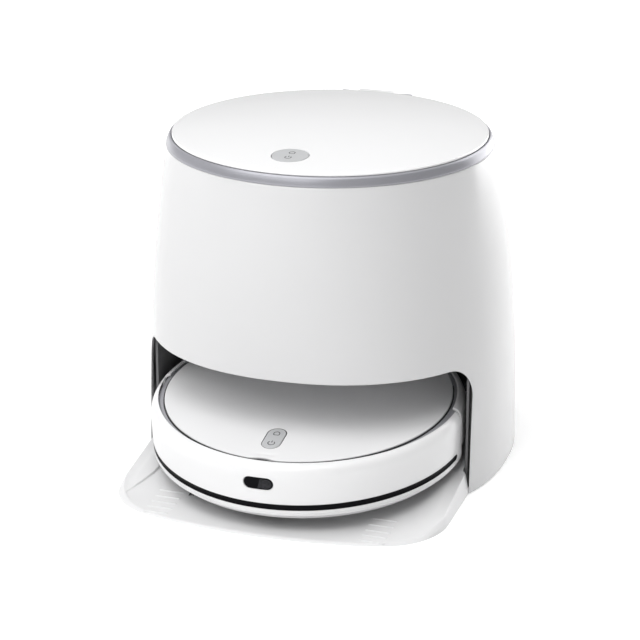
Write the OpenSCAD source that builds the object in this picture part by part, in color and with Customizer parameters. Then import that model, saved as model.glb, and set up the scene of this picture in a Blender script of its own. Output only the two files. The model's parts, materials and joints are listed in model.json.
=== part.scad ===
// Round robot vacuum and mop, parked nose-out in its mop-washing base station.
// X is to the right, Y to the back and Z up. The origin is on the floor, under the middle.

/* [Station shell] */
// Half-width of the station body at the floor
base_half_w = 202.5; // [200:0.5:205]
// Half-depth of the station body at the floor
base_half_d = 207.5; // [205:0.5:210]
// Outer radius of the round top edge
top_r = 178.9; // [178:0.1:180]
// Height of the body's top edge
shell_h = 359.8; // [358:0.1:362]
// Wall thickness of the shell
shell_wall = 3; // [2.5:0.1:3.5]
// Height of the opening's upper lip
mouth_h = 149; // [148:0.5:149.5]
// Half-width of the opening
mouth_half_w = 185; // [184:0.5:186]

/* [Lid] */
// Radius of the lid
lid_r = 172.4; // [171:0.1:173]
// Radius of the round button in the lid
lid_button_r = 19.4; // [18:0.1:20]

/* [Tanks] */
// Height of the tank walls
tank_h = 144; // [140:1:144]
// Wall thickness of the tanks
tank_wall = 2.5; // [2:0.1:3]

/* [Robot] */
// Outer radius of the robot
robot_r = 174; // [172:0.5:174]
// Radius of the robot's round top cover
cover_r = 158.3; // [157:0.1:158.3]
// Radius of a drive wheel
wheel_r = 32; // [30:0.5:32]
// Radius of a mop pad
pad_r = 64; // [60:0.5:64]
// Radius of the brush roller
roller_r = 16; // [14:0.5:16]

/* [Hidden] */
// Places in the station
lid_y = 16;                    // Y of the lid's upright centre line
shell_y = 33;                  // Y of the body's centre at the floor
base_n = 2.35;                 // squareness of the body's outline at the floor
bulge = 2.86;                  // how late the body draws in towards the top
foot_gap = 0.8;                // the shell ends this far above the floor
deck_z = 150.4;                // underside of the tank deck
deck_t = 3;
tank_z = 156;                  // underside of the tanks
tank_r = 158;                  // the tanks' outer curve, about the lid's centre line
tank_gap = 4;                  // from the middle plane to a tank's flat wall
tank_back = 132;               // rear wall of the tanks, from the lid's centre line
tank_top = tank_z + tank_h;
tank_lid_t = 5;
handle_x = 124;                // X of a tank handle's pivots
handle_z = tank_top + 11;
handle_reach = 42;
handle_half = 46;              // half-length of a handle
bay_half_w = 178;              // inside of the bay's side walls
bay_back = 127;                // inside of the bay's rear wall
bay_front = -59;
wall_t = 2.6;
ring_r = 174;                  // top inner radius of the trim ring
ring_z = 370;
ring_hole_r = 166;
dome_r = 1650;                 // radius of the lid's and the cover's shallow domes
lid_top = 381.5;
lid_t = 2.6;
hinge_y = lid_y + 180.5;
hinge_z = 364.9;
hinge_r = 4.5;
hinge_pin_r = 2;
button_pos = [-4.5, -124];     // lid button, from the lid's centre line
button_z = lid_top - pow(norm(button_pos), 2) / (2 * dome_r);
plate_front = 131;             // front edge of the bottom plate
port_x = 40;                   // tank ports, from the tanks' middle
port_y = 124;
port_r = 5;
pump_y = 177;
pump_z = 37;
inlet_x = 70;                  // mains inlet
inlet_z = 42;
contact_z = 76.4;              // height of the charging contacts
contact_x = 30;
station_screw_pts = [[-120, 150], [0, 150], [120, 150], [-60, 215], [60, 215]];
tray_feet_pts = [[-138, -190], [138, -190], [-150, 60], [150, 60]];
// Tray, symmetric about X = 0
tray_corner_r = 74;            // round front corners
tray_corner = [110.4, -152.5]; // centre of the right one
tray_front = -240.5;           // middle of the front edge
tray_edge = 1.6;               // thickness at the front edge
cheek_top = [[-210.9, tray_edge], [-66, 24.2]];   // upper edge of the cheeks, [y, z]
cheek_inner = [[173, -204], [167.6, -184], [160, -164], [153, -144], [150.5, -128], [150.5, 130]];
ramp_pts = [[tray_front, tray_edge], [-189, 3.5], [-61.5, 21.35], [bay_back, 40.2]];   // [y, z]
// Places in the robot, in the robot's own frame: its drive plane is z = 0
tilt = 5.71;                   // the robot stands nose down on the ramp
robot_y = -54;
robot_z = 22.6;
pan_z = 9;                     // underside of the chassis
pan_r = 166;
rim_z = 15.2;                  // lower edge of the bumper
top_z = 73;                    // height of the seam round the cover
body_r = 173;
bumper_t = 2.6;
bumper_half_deg = 89;
shell_half_deg = 90.4;         // the rear shell starts behind the bumper's ends
strip_z = [22.3, 29.1];
strip_half_deg = 84;
window_z = 52;
window_h = 13.6;
window_half_deg = 5.3;
window_span = robot_r * sin(window_half_deg);   // half-length of the sensor window
bumper_travel = 2;
lip_back = 5.6;                // how far back the centre of the bumper's inner top edge lies
wheel_x = 118;
wheel_y = 5;
wheel_w = 18;
axle_r = 4;
pivot_y = 48;                  // suspension pivots of the drive modules
pivot_z = 34;
caster_y = -132;
caster_trail = 6;
caster_r = 11;
caster_cup_r = 22;             // inside of the cup that the caster swivels in
side_brush_pos = [-100, -100];
roller_y = -62;
roller_z = 17.5;
roller_half = 74;
mop_pos = [67, 96];
power_y = -118;
fit = 0.05;                    // radial clearance of a running shaft
gap = 0.4;                     // clearance between still neighbours
cover_hinge_y = 157;
cover_hinge_z = 70;

// ---------- shared shapes ----------

// A point of the body's rounded-square outline at height z, moved inwards by inset
function sgn_pow(v, e) = sign(v) * pow(abs(v), e);
function taper(z) = 1 - pow(max(z, 0) / shell_h, bulge);
function outline_pt(z, t, inset) =
    let (k = taper(z), n = 2 + (base_n - 2) * (1 - z / shell_h))
    [(top_r + (base_half_w - top_r) * k - inset) * sgn_pow(cos(t), 2 / n),
     lid_y + (shell_y - lid_y) * k
        + (top_r + (base_half_d - top_r) * k - inset) * sgn_pow(sin(t), 2 / n)];
function outline(z, inset, sides = 64) =
    [for (i = [0:sides - 1]) outline_pt(z, 360 * (i + 0.5) / sides, inset)];

// Solid of the body between two heights, moved inwards by inset
module body_loft(inset, z0, z1, rings = 9, sides = 64) {
    // Rings lie closer together near the top, where the wall curves most
    heights = [for (i = [0:rings]) z0 + (z1 - z0) * (1 - pow(1 - i / rings, 1.5))];
    pts = [for (z = heights) for (p = outline(z, inset, sides)) [p[0], p[1], z]];
    quads = [for (j = [0:rings - 1]) for (i = [0:sides - 1])
        let (a = j * sides + i, b = j * sides + (i + 1) % sides)
        [a, a + sides, b + sides, b]];
    low = [for (i = [0:sides - 1]) i];
    high = [for (i = [sides - 1:-1:0]) rings * sides + i];
    polyhedron(points = pts, faces = concat(quads, [low], [high]), convexity = 4);
}

// The hollow skin of the body, from the floor to the top edge
module body_skin() {
    difference() {
        body_loft(0, foot_gap, shell_h);
        body_loft(shell_wall, foot_gap - 1, shell_h + 0.5);
    }
}

// The mouth that the robot drives in through, as a prism through the front wall
module mouth() {
    corner_w = 18;
    corner_h = 38;
    corner = [for (t = [90:-7.5:0])
        [mouth_half_w - corner_w + corner_w * cos(t), mouth_h - corner_h + corner_h * sin(t)]];
    right = concat(corner, [[mouth_half_w, -5]]);
    left = [for (i = [len(right) - 1:-1:0]) [-right[i][0], right[i][1]]];
    rotate([90, 0, 0]) linear_extrude(height = 300) polygon(concat(right, left));
}

// Block that separates the rear cover from the rest of the skin
module rear_panel_block(grow) {
    panel_half_w = 104;
    panel_z = [16, 332];
    translate([-panel_half_w - grow, 120, panel_z[0] - grow])
        cube([2 * (panel_half_w + grow), 160, panel_z[1] - panel_z[0] + 2 * grow]);
}

// Slab following the inside of the body
module deck_plate(z, t, inset) {
    translate([0, 0, z]) linear_extrude(height = t) polygon(outline(z + t, inset));
}

// A rod along X, centred on the origin
module rod_x(r, l) {
    rotate([0, 90, 0]) cylinder(r = r, h = l, center = true, $fn = 48);
}

// A rod along Y, centred on the origin
module rod_y(r, l) {
    rotate([90, 0, 0]) cylinder(r = r, h = l, center = true, $fn = 48);
}

// A box centred in X and Y, standing on z = 0
module box(x, y, z) {
    translate([-x / 2, -y / 2, 0]) cube([x, y, z]);
}

// A flat pill shape, long along Y
module pill(w, l, h) {
    for (s = [-1, 1]) translate([0, s * (l - w) / 2, 0]) cylinder(r = w / 2, h = h, $fn = 64);
    box(w, l - w, h);
}

// Shallow dome seen in section: height of its underside or top at radius r
function dome(r, apex) = apex - r * r / (2 * dome_r);

// A dished disc of thickness t with a small rounded edge
module dome_disc(r, apex, t, edge = 1.2) {
    steps = 10;
    top = [for (i = [0:steps]) let (q = (r - edge) * i / steps) [q, dome(q, apex)]];
    rim = [[r, dome(r, apex) - edge], [r, dome(r, apex) - t]];
    under = [for (i = [steps:-1:0]) let (q = (r - edge) * i / steps) [q, dome(q, apex) - t]];
    rotate_extrude($fn = 128) polygon(concat(top, rim, under));
}

// Puts a robot part, drawn on its own level drive plane, onto the ramp
module on_ramp() {
    translate([0, robot_y, robot_z]) rotate([tilt, 0, 0]) children();
}

// A ring sector about Z, centred on the robot's front
module front_sector(half_deg) {
    rotate([0, 0, -90 - half_deg]) rotate_extrude(angle = 2 * half_deg, $fn = 128) children();
}

// ---------- station: casing ----------

module outer_shell() {
    color("white") difference() {
        body_skin();
        mouth();
        rear_panel_block(gap);
    }
}

module rear_cover() {
    inlet_w = 27;
    inlet_h = 19;
    color("whitesmoke") difference() {
        intersection() {
            body_skin();
            rear_panel_block(0);
        }
        translate([inlet_x, 215, inlet_z - inlet_h / 2]) box(inlet_w, 60, inlet_h);
        for (i = [0:5]) translate([-60, 215, 34 + 7 * i]) box(56, 60, 3);
    }
}

// Grey trim ring round the top edge, with the fixed knuckles of the lid hinge
module top_ring() {
    lip_r = 177.2;
    color("darkgray") difference() {
        union() {
            translate([0, lid_y, 0]) rotate_extrude($fn = 128) polygon([
                [ring_hole_r, shell_h + 0.2], [top_r - 0.3, shell_h + 0.2], [top_r - 0.5, shell_h + 2.2],
                [lip_r, shell_h + 5.5], [175.6, ring_z - 1.4], [ring_r, ring_z],
                [173, ring_z], [172.2, ring_z - 1.6], [ring_hole_r, ring_z - 1.6]]);
            for (s = [-1, 1]) translate([s * 31, hinge_y, hinge_z]) rod_x(hinge_r, 20);
        }
        translate([0, hinge_y - 2.5, hinge_z - 12]) box(43, 20, 24);
        translate([0, hinge_y, hinge_z]) rod_x(hinge_pin_r + 0.02, 90);
    }
}

module bottom_plate() {
    plate_back = 180;
    color("gainsboro") difference() {
        intersection() {
            translate([0, 0, 2]) linear_extrude(height = 3) polygon(outline(5, shell_wall + 0.8));
            translate([0, plate_front + 150, 0]) box(420, 300, 20);
        }
        for (p = station_screw_pts) translate([p[0], p[1], 0]) cylinder(r = 2.1, h = 10, $fn = 32);
        for (s = [-1, 1]) translate([s * 95, plate_back, 0]) cylinder(r = 6.2, h = 10, $fn = 48);
    }
}

// Outline of the tray, symmetric about X = 0
function tray_side(s) = concat(
    [[s * 177, bay_back - 1], [s * 177, -63], [s * 184, -67.5]],
    [for (t = [0:-6.5:-78]) [s * (tray_corner[0] + tray_corner_r * cos(t)),
        tray_corner[1] + tray_corner_r * sin(t)]],
    [for (x = [110:-22:22]) [s * x, tray_front + 12.2 * pow(x / 115, 2)]]);
function reversed(v) = [for (i = [len(v) - 1:-1:0]) v[i]];

module side_prism(pts, half_w) {
    translate([half_w, 0, 0]) rotate([90, 0, -90]) mirror([1, 0, 0])
        linear_extrude(height = 2 * half_w) polygon(pts);
}

// Raised strip along the right edge of the ramp, with a drafted outer wall
module tray_cheek() {
    cheek_rise = atan2(cheek_top[1][1] - cheek_top[0][1], cheek_top[1][0] - cheek_top[0][0]);
    intersection() {
        linear_extrude(height = 60) polygon(concat(cheek_inner, [[200, 130], [200, -204]]));
        translate([0, cheek_top[0][0], cheek_top[0][1]]) rotate([cheek_rise, 0, 0])
            rotate([90, 0, 0]) mirror([0, 0, 1]) linear_extrude(height = 360)
                polygon([[180.5, 0], [145, -1.5], [145, -70], [200, -70], [184.4, -14]]);
    }
}

module base_tray() {
    rib_pitch = 12;
    rib_h = 0.8;
    color("white") difference() {
        union() {
            intersection() {
                linear_extrude(height = 60) polygon(concat(tray_side(1), reversed(tray_side(-1))));
                union() {
                    side_prism(concat([[tray_front, 0]], ramp_pts, [[bay_back, 0]]), 190);
                    tray_cheek();
                    mirror([1, 0, 0]) tray_cheek();
                }
            }
            // Anti-slip ribs near the front corners
            for (s = [-1, 1]) for (y = [-220:rib_pitch:-172])
                translate([s * 120, y, 0.5]) box(28, 2, lookup(y, ramp_pts) + rib_h - 0.5);
        }
        // Hollow underside
        side_prism([[-108, -1], [-108, 9], [bay_back - 6, 20], [bay_back - 6, -1]], 142);
        // Recess for the wash board
        on_ramp() translate([0, 96, -8.4]) box(290, 140, 20);
        for (p = tray_feet_pts) translate([p[0], p[1], -1]) cylinder(r = 6.2, h = 2.2, $fn = 48);
    }
}

// Removable ribbed board that the mop pads turn against
module wash_board() {
    rib_h = 2.6;
    color("lightgray") on_ramp() {
        difference() {
            translate([0, 96, -8]) box(288, 138, 4);
            for (s = [-1, 1]) translate([s * mop_pos[0], mop_pos[1], -5.5])
                cylinder(r = 9, h = 4, $fn = 48);
            translate([0, 96, -5.5]) box(9, 120, 4);
        }
        for (s = [-1, 1]) for (k = [0:11])
            translate([s * mop_pos[0], mop_pos[1], -4.2]) rotate([0, 0, 30 * k + 15])
                translate([33, 0, 0]) box(42, 2.4, rib_h);
    }
}

// Dark lining of the bay: two side walls, and a rear wall with the contacts' housing
module bay_liner() {
    flange_x = 183;
    color("dimgray") difference() {
        union() {
            translate([-bay_half_w - wall_t, bay_front, 1])
                cube([2 * (bay_half_w + wall_t), bay_back - bay_front + wall_t, deck_z - 1.4]);
            // Flanges that close the gaps between the side walls and the shell
            translate([-flange_x, bay_front + 9, 1]) cube([2 * flange_x, wall_t, deck_z - 1.4]);
            translate([0, bay_back - 2, contact_z - 9.6]) box(95, 16, 19.2);
        }
        difference() {
            translate([-bay_half_w, bay_front - 1, 0])
                cube([2 * bay_half_w, bay_back - bay_front + 1, deck_z + 2]);
            translate([0, bay_back - 2, contact_z - 9.6]) box(95, 16, 19.2);
        }
        for (s = [-1, 1]) translate([s * contact_x, bay_back - 8, contact_z - 6.4])
            box(16.8, 22, 12.8);
        // Rear corners follow the body's rounded outline
        difference() {
            translate([0, 120, 0]) box(400, 60, deck_z);
            translate([0, 0, -1]) linear_extrude(height = deck_z + 2)
                polygon(outline(deck_z, shell_wall + gap));
        }
    }
}

// Shelf that carries the tanks and roofs the bay
module tank_deck() {
    rim_h = 7;
    color("gainsboro") difference() {
        union() {
            deck_plate(deck_z, deck_t, shell_wall + 0.8);
            translate([0, lid_y, deck_z + 1]) difference() {
                cylinder(r = tank_r + 4, h = rim_h, $fn = 128);
                translate([0, 0, -1]) cylinder(r = tank_r + 1.5, h = 30, $fn = 128);
                translate([0, tank_back + 110, -1]) box(400, 200, 40);
            }
        }
        for (s = [-1, 1]) translate([s * port_x, lid_y + port_y, deck_z - 5])
            cylinder(r = port_r + 3, h = 20, $fn = 48);
    }
}

// ---------- station: tanks ----------

module tank_block(inset, z0, z1) {
    intersection() {
        translate([0, lid_y, z0]) cylinder(r = tank_r - inset, h = z1 - z0, $fn = 128);
        translate([tank_gap + inset, lid_y - tank_r, z0])
            cube([tank_r, tank_r + tank_back - inset, z1 - z0]);
    }
}

// Right-hand tank; the left-hand one is its mirror image
module tank() {
    difference() {
        union() {
            tank_block(0, tank_z, tank_top);
            translate([port_x, lid_y + port_y, deck_z - 4])
                cylinder(r = port_r + 2, h = tank_z - deck_z + 5, $fn = 48);
        }
        tank_block(tank_wall, tank_z + tank_wall, tank_top + 1);
        translate([port_x, lid_y + port_y, deck_z - 6]) cylinder(r = port_r, h = 20, $fn = 48);
    }
}

module tank_lid() {
    ear_t = 5;
    filler = [44, 64];
    difference() {
        union() {
            tank_block(0.6, tank_top + 0.2, tank_top + tank_lid_t);
            tank_block(tank_wall + 0.4, tank_top - 6, tank_top + 0.5);
            for (s = [-1, 1]) translate([handle_x, lid_y + s * (handle_half - 6), 0]) {
                translate([0, 0, tank_top + 2]) box(12, ear_t, handle_z - tank_top - 2);
                translate([0, 0, handle_z]) rod_y(6, ear_t);
            }
        }
        tank_block(tank_wall + 3, tank_top - 8, tank_top + 1.5);
        translate([46, lid_y + 85, tank_top - 10]) box(filler[0], filler[1], 30);
        translate([handle_x, lid_y, handle_z]) rod_y(3 + fit, 2 * handle_half);
    }
}

module tank_handle() {
    grip_r = 4.5;
    for (s = [-1, 1]) {
        translate([handle_x, lid_y + s * (handle_half - 6), handle_z]) rod_y(3, 8);
        translate([handle_x - handle_reach, lid_y + s * handle_half - 3, handle_z - 3.5])
            cube([handle_reach + 3.5, 6, 7]);
    }
    translate([handle_x - handle_reach, lid_y, handle_z]) rod_y(grip_r, 2 * handle_half + 6);
}

module clean_tank() {
    color("lightsteelblue") mirror([1, 0, 0]) tank();
}

module clean_tank_lid() {
    color("white") mirror([1, 0, 0]) tank_lid();
}

module clean_tank_handle() {
    color("steelblue") mirror([1, 0, 0]) tank_handle();
}

module waste_tank() {
    color("gray") tank();
}

module waste_tank_lid() {
    color("white") tank_lid();
}

module waste_tank_handle() {
    color("dimgray") tank_handle();
}

// ---------- station: lid ----------

// Puts a part on the dome where the lid button is, square to the surface
module at_lid_button() {
    translate([button_pos[0], lid_y + button_pos[1], button_z])
        rotate([asin(-button_pos[1] / dome_r), 0, 0]) children();
}

module lid() {
    color("white") difference() {
        union() {
            translate([0, lid_y, 0]) dome_disc(lid_r, lid_top, lid_t);
            translate([0, hinge_y, hinge_z]) rod_x(hinge_r, 42);
            translate([-21, hinge_y - 11.5, hinge_z + 2.8]) cube([42, 12, 4]);
        }
        at_lid_button() translate([0, 0, -10]) cylinder(r = lid_button_r + 0.8, h = 20, $fn = 96);
        translate([0, hinge_y, hinge_z]) rod_x(hinge_pin_r + fit, 90);
    }
}

module lid_liner() {
    liner_r = 162;
    liner_t = 2;
    floor_z = 366;
    color("gainsboro") translate([0, lid_y, 0]) difference() {
        rotate_extrude($fn = 128) polygon([
            [0, floor_z], [liner_r, floor_z], [liner_r, dome(liner_r, lid_top) - lid_t - 0.05],
            [liner_r - liner_t, dome(liner_r, lid_top) - lid_t - 0.05],
            [liner_r - liner_t, floor_z + liner_t], [0, floor_z + liner_t]]);
        translate([0, 90, floor_z - 1]) box(60, 16, 5);
    }
}

module lid_hinge_pin() {
    color("silver") translate([0, hinge_y, hinge_z]) rod_x(hinge_pin_r, 81);
}

module lid_button() {
    cap_t = 3;
    color("lightgray") at_lid_button() {
        translate([0, 0, -cap_t]) cylinder(r = lid_button_r, h = cap_t + 0.4, $fn = 96);
        translate([0, 0, -4.2]) cylinder(r = 3, h = 3, $fn = 32);
    }
}

module lid_board() {
    color("green") translate([button_pos[0], lid_y + button_pos[1] + 2, 368.05]) box(36, 26, 1.2);
}

// ---------- station: machinery behind the bay ----------

module pump(len_y) {
    rod_y(20, len_y);
    translate([0, len_y / 2 + 8, 0]) rod_y(16, 16.5);
    translate([0, -len_y / 2 - 4, 0]) rod_y(4, 9);
    translate([0, 0, -30]) box(30, len_y - 8, 14);
}

// One pump fills the wash board from the clean tank, the other lifts the waste water
module water_pumps() {
    color("black") for (s = [-1, 1]) translate([s * port_x, pump_y, pump_z]) pump(44);
}

// Two pipes, from the tanks' ports down to the pumps
module hoses() {
    pipe_r = 6;
    color("gainsboro") for (s = [-1, 1]) translate([s * port_x, lid_y + port_y, 0])
        difference() {
            translate([0, 0, pump_z - 8]) cylinder(r = pipe_r, h = deck_z - 4.4 - pump_z + 8, $fn = 32);
            translate([0, 0, pump_z - 5]) cylinder(r = pipe_r - 2, h = 130, $fn = 32);
            translate([0, pipe_r, pump_z]) rod_y(4.1, 6);
        }
}

module control_board() {
    color("green") translate([0, 150, 8]) {
        translate([118, 0, 12]) box(70, 1.6, 90);
        translate([118, -4, 30]) box(20, 8.2, 14);
        translate([100, -3, 60]) box(16, 6.2, 10);
        for (i = [0:2]) translate([130 + 8 * i, -5, 74]) cylinder(r = 3, h = 12, $fn = 24);
    }
}

module power_supply() {
    color("silver") translate([60, 178, 70]) {
        difference() {
            box(64, 40, 62);
            translate([0, 0, 2]) box(60, 36, 58);
        }
        translate([0, 0, 3]) box(40, 24, 30);
    }
}

module mains_inlet() {
    color("black") translate([inlet_x, 220, inlet_z]) {
        difference() {
            translate([0, 0, -9]) box(26, 21, 18);
            translate([0, 6, -6]) box(19, 18, 12);
        }
        for (s = [-1, 1]) translate([s * 4.3, 1, 0]) rod_y(1.2, 9);
    }
}

// Two sprung tongues that press on the robot's rear terminals
module charge_contacts() {
    tongue_y = 113.5;
    color("gold") {
        for (s = [-1, 1]) translate([s * contact_x, 0, contact_z]) {
            translate([0, tongue_y, 0]) intersection() {
                translate([0, 6, 0]) rod_x(6, 12);
                translate([0, 5, -5]) box(12, 10, 10);
            }
            translate([0, tongue_y + 7.5, -5]) box(12, 7, 10);
        }
    }
}

module station_feet() {
    color("dimgray") {
        for (p = tray_feet_pts) translate([p[0], p[1], 0]) cylinder(r = 6, h = 1.2, $fn = 48);
        for (s = [-1, 1]) translate([s * 95, 180, 0]) {
            cylinder(r = 9, h = 2, $fn = 48);
            cylinder(r = 6, h = 5.6, $fn = 48);
        }
    }
}

module station_screws() {
    color("silver") for (p = station_screw_pts) translate([p[0], p[1], 0.4]) {
        cylinder(r = 3.6, h = 1.6, $fn = 32);
        cylinder(r = 2, h = 12, $fn = 32);
    }
}

// ---------- robot: casing ----------

// Openings in the chassis for the wheels, the caster, the brush and the mops
module chassis_cuts() {
    for (s = [-1, 1]) {
        translate([s * wheel_x, wheel_y, pan_z - 2]) box(wheel_w + 6, 2 * wheel_r + 6, 80);
        translate([s * mop_pos[0], mop_pos[1], pan_z - 2]) cylinder(r = 7, h = 10, $fn = 48);
    }
    translate([0, caster_y, pan_z - 2]) cylinder(r = caster_cup_r, h = 22.6, $fn = 64);
    translate([0, caster_y, pan_z]) cylinder(r = axle_r + fit, h = 40, $fn = 48);
    translate([0, roller_y, pan_z - 2]) box(2 * roller_half + 6, 2 * roller_r + 6, 60);
    translate([side_brush_pos[0], side_brush_pos[1], pan_z - 2]) cylinder(r = 5, h = 12, $fn = 32);
}

module chassis() {
    pan_t = 3;
    color("dimgray") on_ramp() {
        difference() {
            union() {
                translate([0, 0, pan_z]) cylinder(r = pan_r, h = pan_t, $fn = 128);
                // Cup for the caster, brush end plates and suspension brackets
                translate([0, caster_y, pan_z]) cylinder(r = caster_cup_r + 4, h = 26, $fn = 64);
                for (s = [-1, 1]) {
                    translate([s * (roller_half + 6), roller_y, pan_z]) box(6, 44, 26);
                    for (x = [66, 101]) translate([s * x, pivot_y, pan_z]) box(5, 16, 34);
                }
            }
            chassis_cuts();
            translate([0, roller_y, roller_z]) rod_x(3 + fit, 2 * roller_half + 30);
            for (s = [-1, 1]) translate([s * 84, pivot_y, pivot_z]) rod_x(3 + fit, 50);
        }
    }
}

// Upright wall of the chassis, standing on the floor pan
module chassis_wall() {
    wall_base = pan_z + 3;
    wall_top = 64;
    color("dimgray") on_ramp() difference() {
        translate([0, 0, wall_base]) cylinder(r = pan_r, h = wall_top - wall_base, $fn = 128);
        translate([0, 0, wall_base - 1]) cylinder(r = pan_r - 3, h = 80, $fn = 128);
    }
}

// Rear half of the side wall, with its rounded top rim
module body_shell() {
    color("whitesmoke") on_ramp() difference() {
        rotate([0, 0, -90 + shell_half_deg])
            rotate_extrude(angle = 360 - 2 * shell_half_deg, $fn = 128) polygon([
                [166.4, 26], [172, 26], [body_r, 29], [body_r, 60], [172.3, 64], [170.8, 68],
                [168.4, 71.2], [165, top_z], [163, top_z], [163, 70.2], [167, 69],
                [169.6, 65], [170.4, 60], [170.4, 30], [166.4, 28.6]]);
        for (s = [-1, 1]) translate([s * contact_x, 168, 31.8]) box(14.4, 20, 10.4);
    }
}

// Recessed ring between the cover and the outer wall, and the cover's seat
module deck_ring() {
    color("silver") on_ramp() difference() {
        rotate_extrude($fn = 128) polygon([
            [140, 64.2], [166, 64.2], [166, 65.4], [163.6, 68], [161.6, 69.6],
            [159.6, 70.2], [159.6, 67.2], [140, 67.2]]);
        translate([0, cover_hinge_y, 60]) box(66, 4.2, 20);
    }
}

module top_cover() {
    apex = top_z + 7.2;
    color("white") on_ramp() difference() {
        union() {
            dome_disc(cover_r, apex, 2.6, 0.8);
            for (s = [-1, 1]) translate([s * 26, 0, 0]) {
                translate([0, cover_hinge_y, cover_hinge_z]) rod_x(1.4, 12);
                translate([0, cover_hinge_y - 0.9, cover_hinge_z]) box(12, 1.8, 1.6);
            }
        }
        translate([0, power_y, 60]) pill(20.8, 39.8, 30);
        // Finger notch in the front edge
        translate([0, -cover_r - 26, top_z - 5]) cylinder(r = 28.6, h = 8, $fn = 64);
    }
}

module power_button() {
    color("silver") on_ramp() translate([0, power_y, 0]) {
        translate([0, 0, 74]) pill(20, 39, dome(power_y, top_z + 7.2) + 0.4 - 74);
        translate([0, 0, 71.4]) box(6, 6, 3);
    }
}

// The bumper's wall in section
module bumper_profile() {
    r = robot_r;
    polygon([
        [r - 3, rim_z], [r - 1.2, rim_z], [r - 0.6, rim_z + 2], [r - 0.2, strip_z[0]],
        [r - 1.6, strip_z[0]], [r - 1.6, strip_z[1]], [r, strip_z[1]], [r, 57], [r - 0.7, 62],
        [r - 2.6, 67], [r - 5.6, 70.8], [r - 8.6, top_z - 0.4], [r - 13.4, top_z],
        [r - 13.4, top_z - 1.6], [r - 8, top_z - 2.4], [r - 4.6, 66], [r - bumper_t - 0.4, 61],
        [r - bumper_t, 57], [r - bumper_t - 0.6, strip_z[1] + 2], [r - bumper_t - 0.6, rim_z + 2]]);
}

module window_cut(grow) {
    translate([0, -robot_r, window_z]) rotate([90, 90, 0])
        translate([0, 0, -7]) pill(window_h + 2 * grow, 2 * window_span + 2 * grow, 14);
}

module bumper() {
    color("white") on_ramp() difference() {
        front_sector(bumper_half_deg) bumper_profile();
        window_cut(0.25);
        // The inner edge stands back from the cover, most of all at the sides
        translate([0, lip_back, 60]) cylinder(r = cover_r + bumper_travel + 1.4 + lip_back,
            h = 30, $fn = 128);
    }
}

module bumper_strip() {
    color("black") on_ramp() front_sector(strip_half_deg) polygon([
        [robot_r - 1.5, strip_z[0] + 0.1], [robot_r - 0.3, strip_z[0] + 0.1],
        [robot_r - 0.3, strip_z[1] - 0.1], [robot_r - 1.5, strip_z[1] - 0.1]]);
}

module sensor_window() {
    color("black") on_ramp() intersection() {
        front_sector(10) polygon([[robot_r - 2.4, 40], [robot_r - 0.3, 40],
            [robot_r - 0.3, 64], [robot_r - 2.4, 64]]);
        window_cut(0);
    }
}

// Two charging terminals in the robot's rear wall
module robot_terminals() {
    color("gold") on_ramp() for (s = [-1, 1]) intersection() {
        translate([s * contact_x, 168, 32]) box(14, 20, 10);
        difference() {
            cylinder(r = body_r - 0.2, h = 60, $fn = 128);
            translate([0, 0, -1]) cylinder(r = body_r - 1.8, h = 70, $fn = 128);
        }
    }
}

// ---------- robot: running gear ----------

// Right-hand drive module, with its suspension pivot
module drive_module() {
    body_x = 84;
    difference() {
        union() {
            translate([body_x, 24, 19]) box(28, 62, 30);
            translate([body_x, pivot_y, pivot_z]) rod_x(9, 28);
            translate([body_x + 18, wheel_y, wheel_r]) rod_x(13, 10);
        }
        translate([body_x + 14, wheel_y, wheel_r]) rod_x(axle_r + fit, 40);
    }
    translate([body_x, pivot_y, pivot_z]) rod_x(3, 40);
}

module drive_modules() {
    color("dimgray") on_ramp() for (s = [0, 1]) mirror([s, 0, 0]) drive_module();
}

module wheel_hub() {
    color("lightgray") on_ramp() translate([wheel_x, wheel_y, wheel_r]) difference() {
        union() {
            difference() {
                rod_x(wheel_r - 6, wheel_w - 2);
                translate([wheel_w / 2, 0, 0]) rod_x(wheel_r - 10, 8);
            }
            translate([4, 0, 0]) rod_x(7, 8);
        }
        translate([-4, 0, 0]) rod_x(axle_r + fit, 19);
    }
}

// Two stub axles, one in each drive module
module wheel_axles() {
    color("silver") on_ramp() for (s = [-1, 1])
        translate([s * (wheel_x - 10), wheel_y, wheel_r]) rod_x(axle_r, 30);
}

module tyre() {
    color("black") on_ramp() translate([wheel_x, wheel_y, wheel_r]) rotate([0, 90, 0])
        difference() {
            translate([0, 0, -wheel_w / 2]) cylinder(r = wheel_r, h = wheel_w, $fn = 96);
            translate([0, 0, -wheel_w]) cylinder(r = wheel_r - 6 + 0.02, h = 2 * wheel_w, $fn = 96);
            for (i = [0:17]) rotate([0, 0, 20 * i]) translate([wheel_r, 0, -wheel_w])
                box(3, 2.4, 2 * wheel_w);
        }
}

module caster_fork() {
    cheek_x = 8.2;
    color("dimgray") on_ramp() translate([0, caster_y, 0]) {
        difference() {
            union() {
                translate([0, 0, 24]) cylinder(r = 15, h = 4, $fn = 64);
                translate([0, 0, 27]) cylinder(r = axle_r, h = 18, $fn = 48);
                for (s = [-1, 1]) translate([s * cheek_x, caster_trail / 2, 8]) box(4, 20, 17);
            }
            translate([0, caster_trail, caster_r]) rod_x(2, 60);
        }
    }
}

module caster_wheel() {
    color("gray") on_ramp() translate([0, caster_y + caster_trail, caster_r]) {
        rod_x(caster_r, 11);
        rod_x(1.95, 20);
    }
}

// Three-armed sweeping brush under the front edge
module side_brush() {
    arm = 31;
    color("gray") on_ramp() translate([side_brush_pos[0], side_brush_pos[1], 0]) {
        translate([0, 0, 3.5]) cylinder(r = 13, h = 4.6, $fn = 48);
        translate([0, 0, 8]) cylinder(r = 3, h = 12, $fn = 32);
        for (k = [0:2]) rotate([0, 0, 120 * k + 45]) translate([arm / 2 + 5, 0, 1.6])
            box(arm, 5, 3);
    }
}

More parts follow.
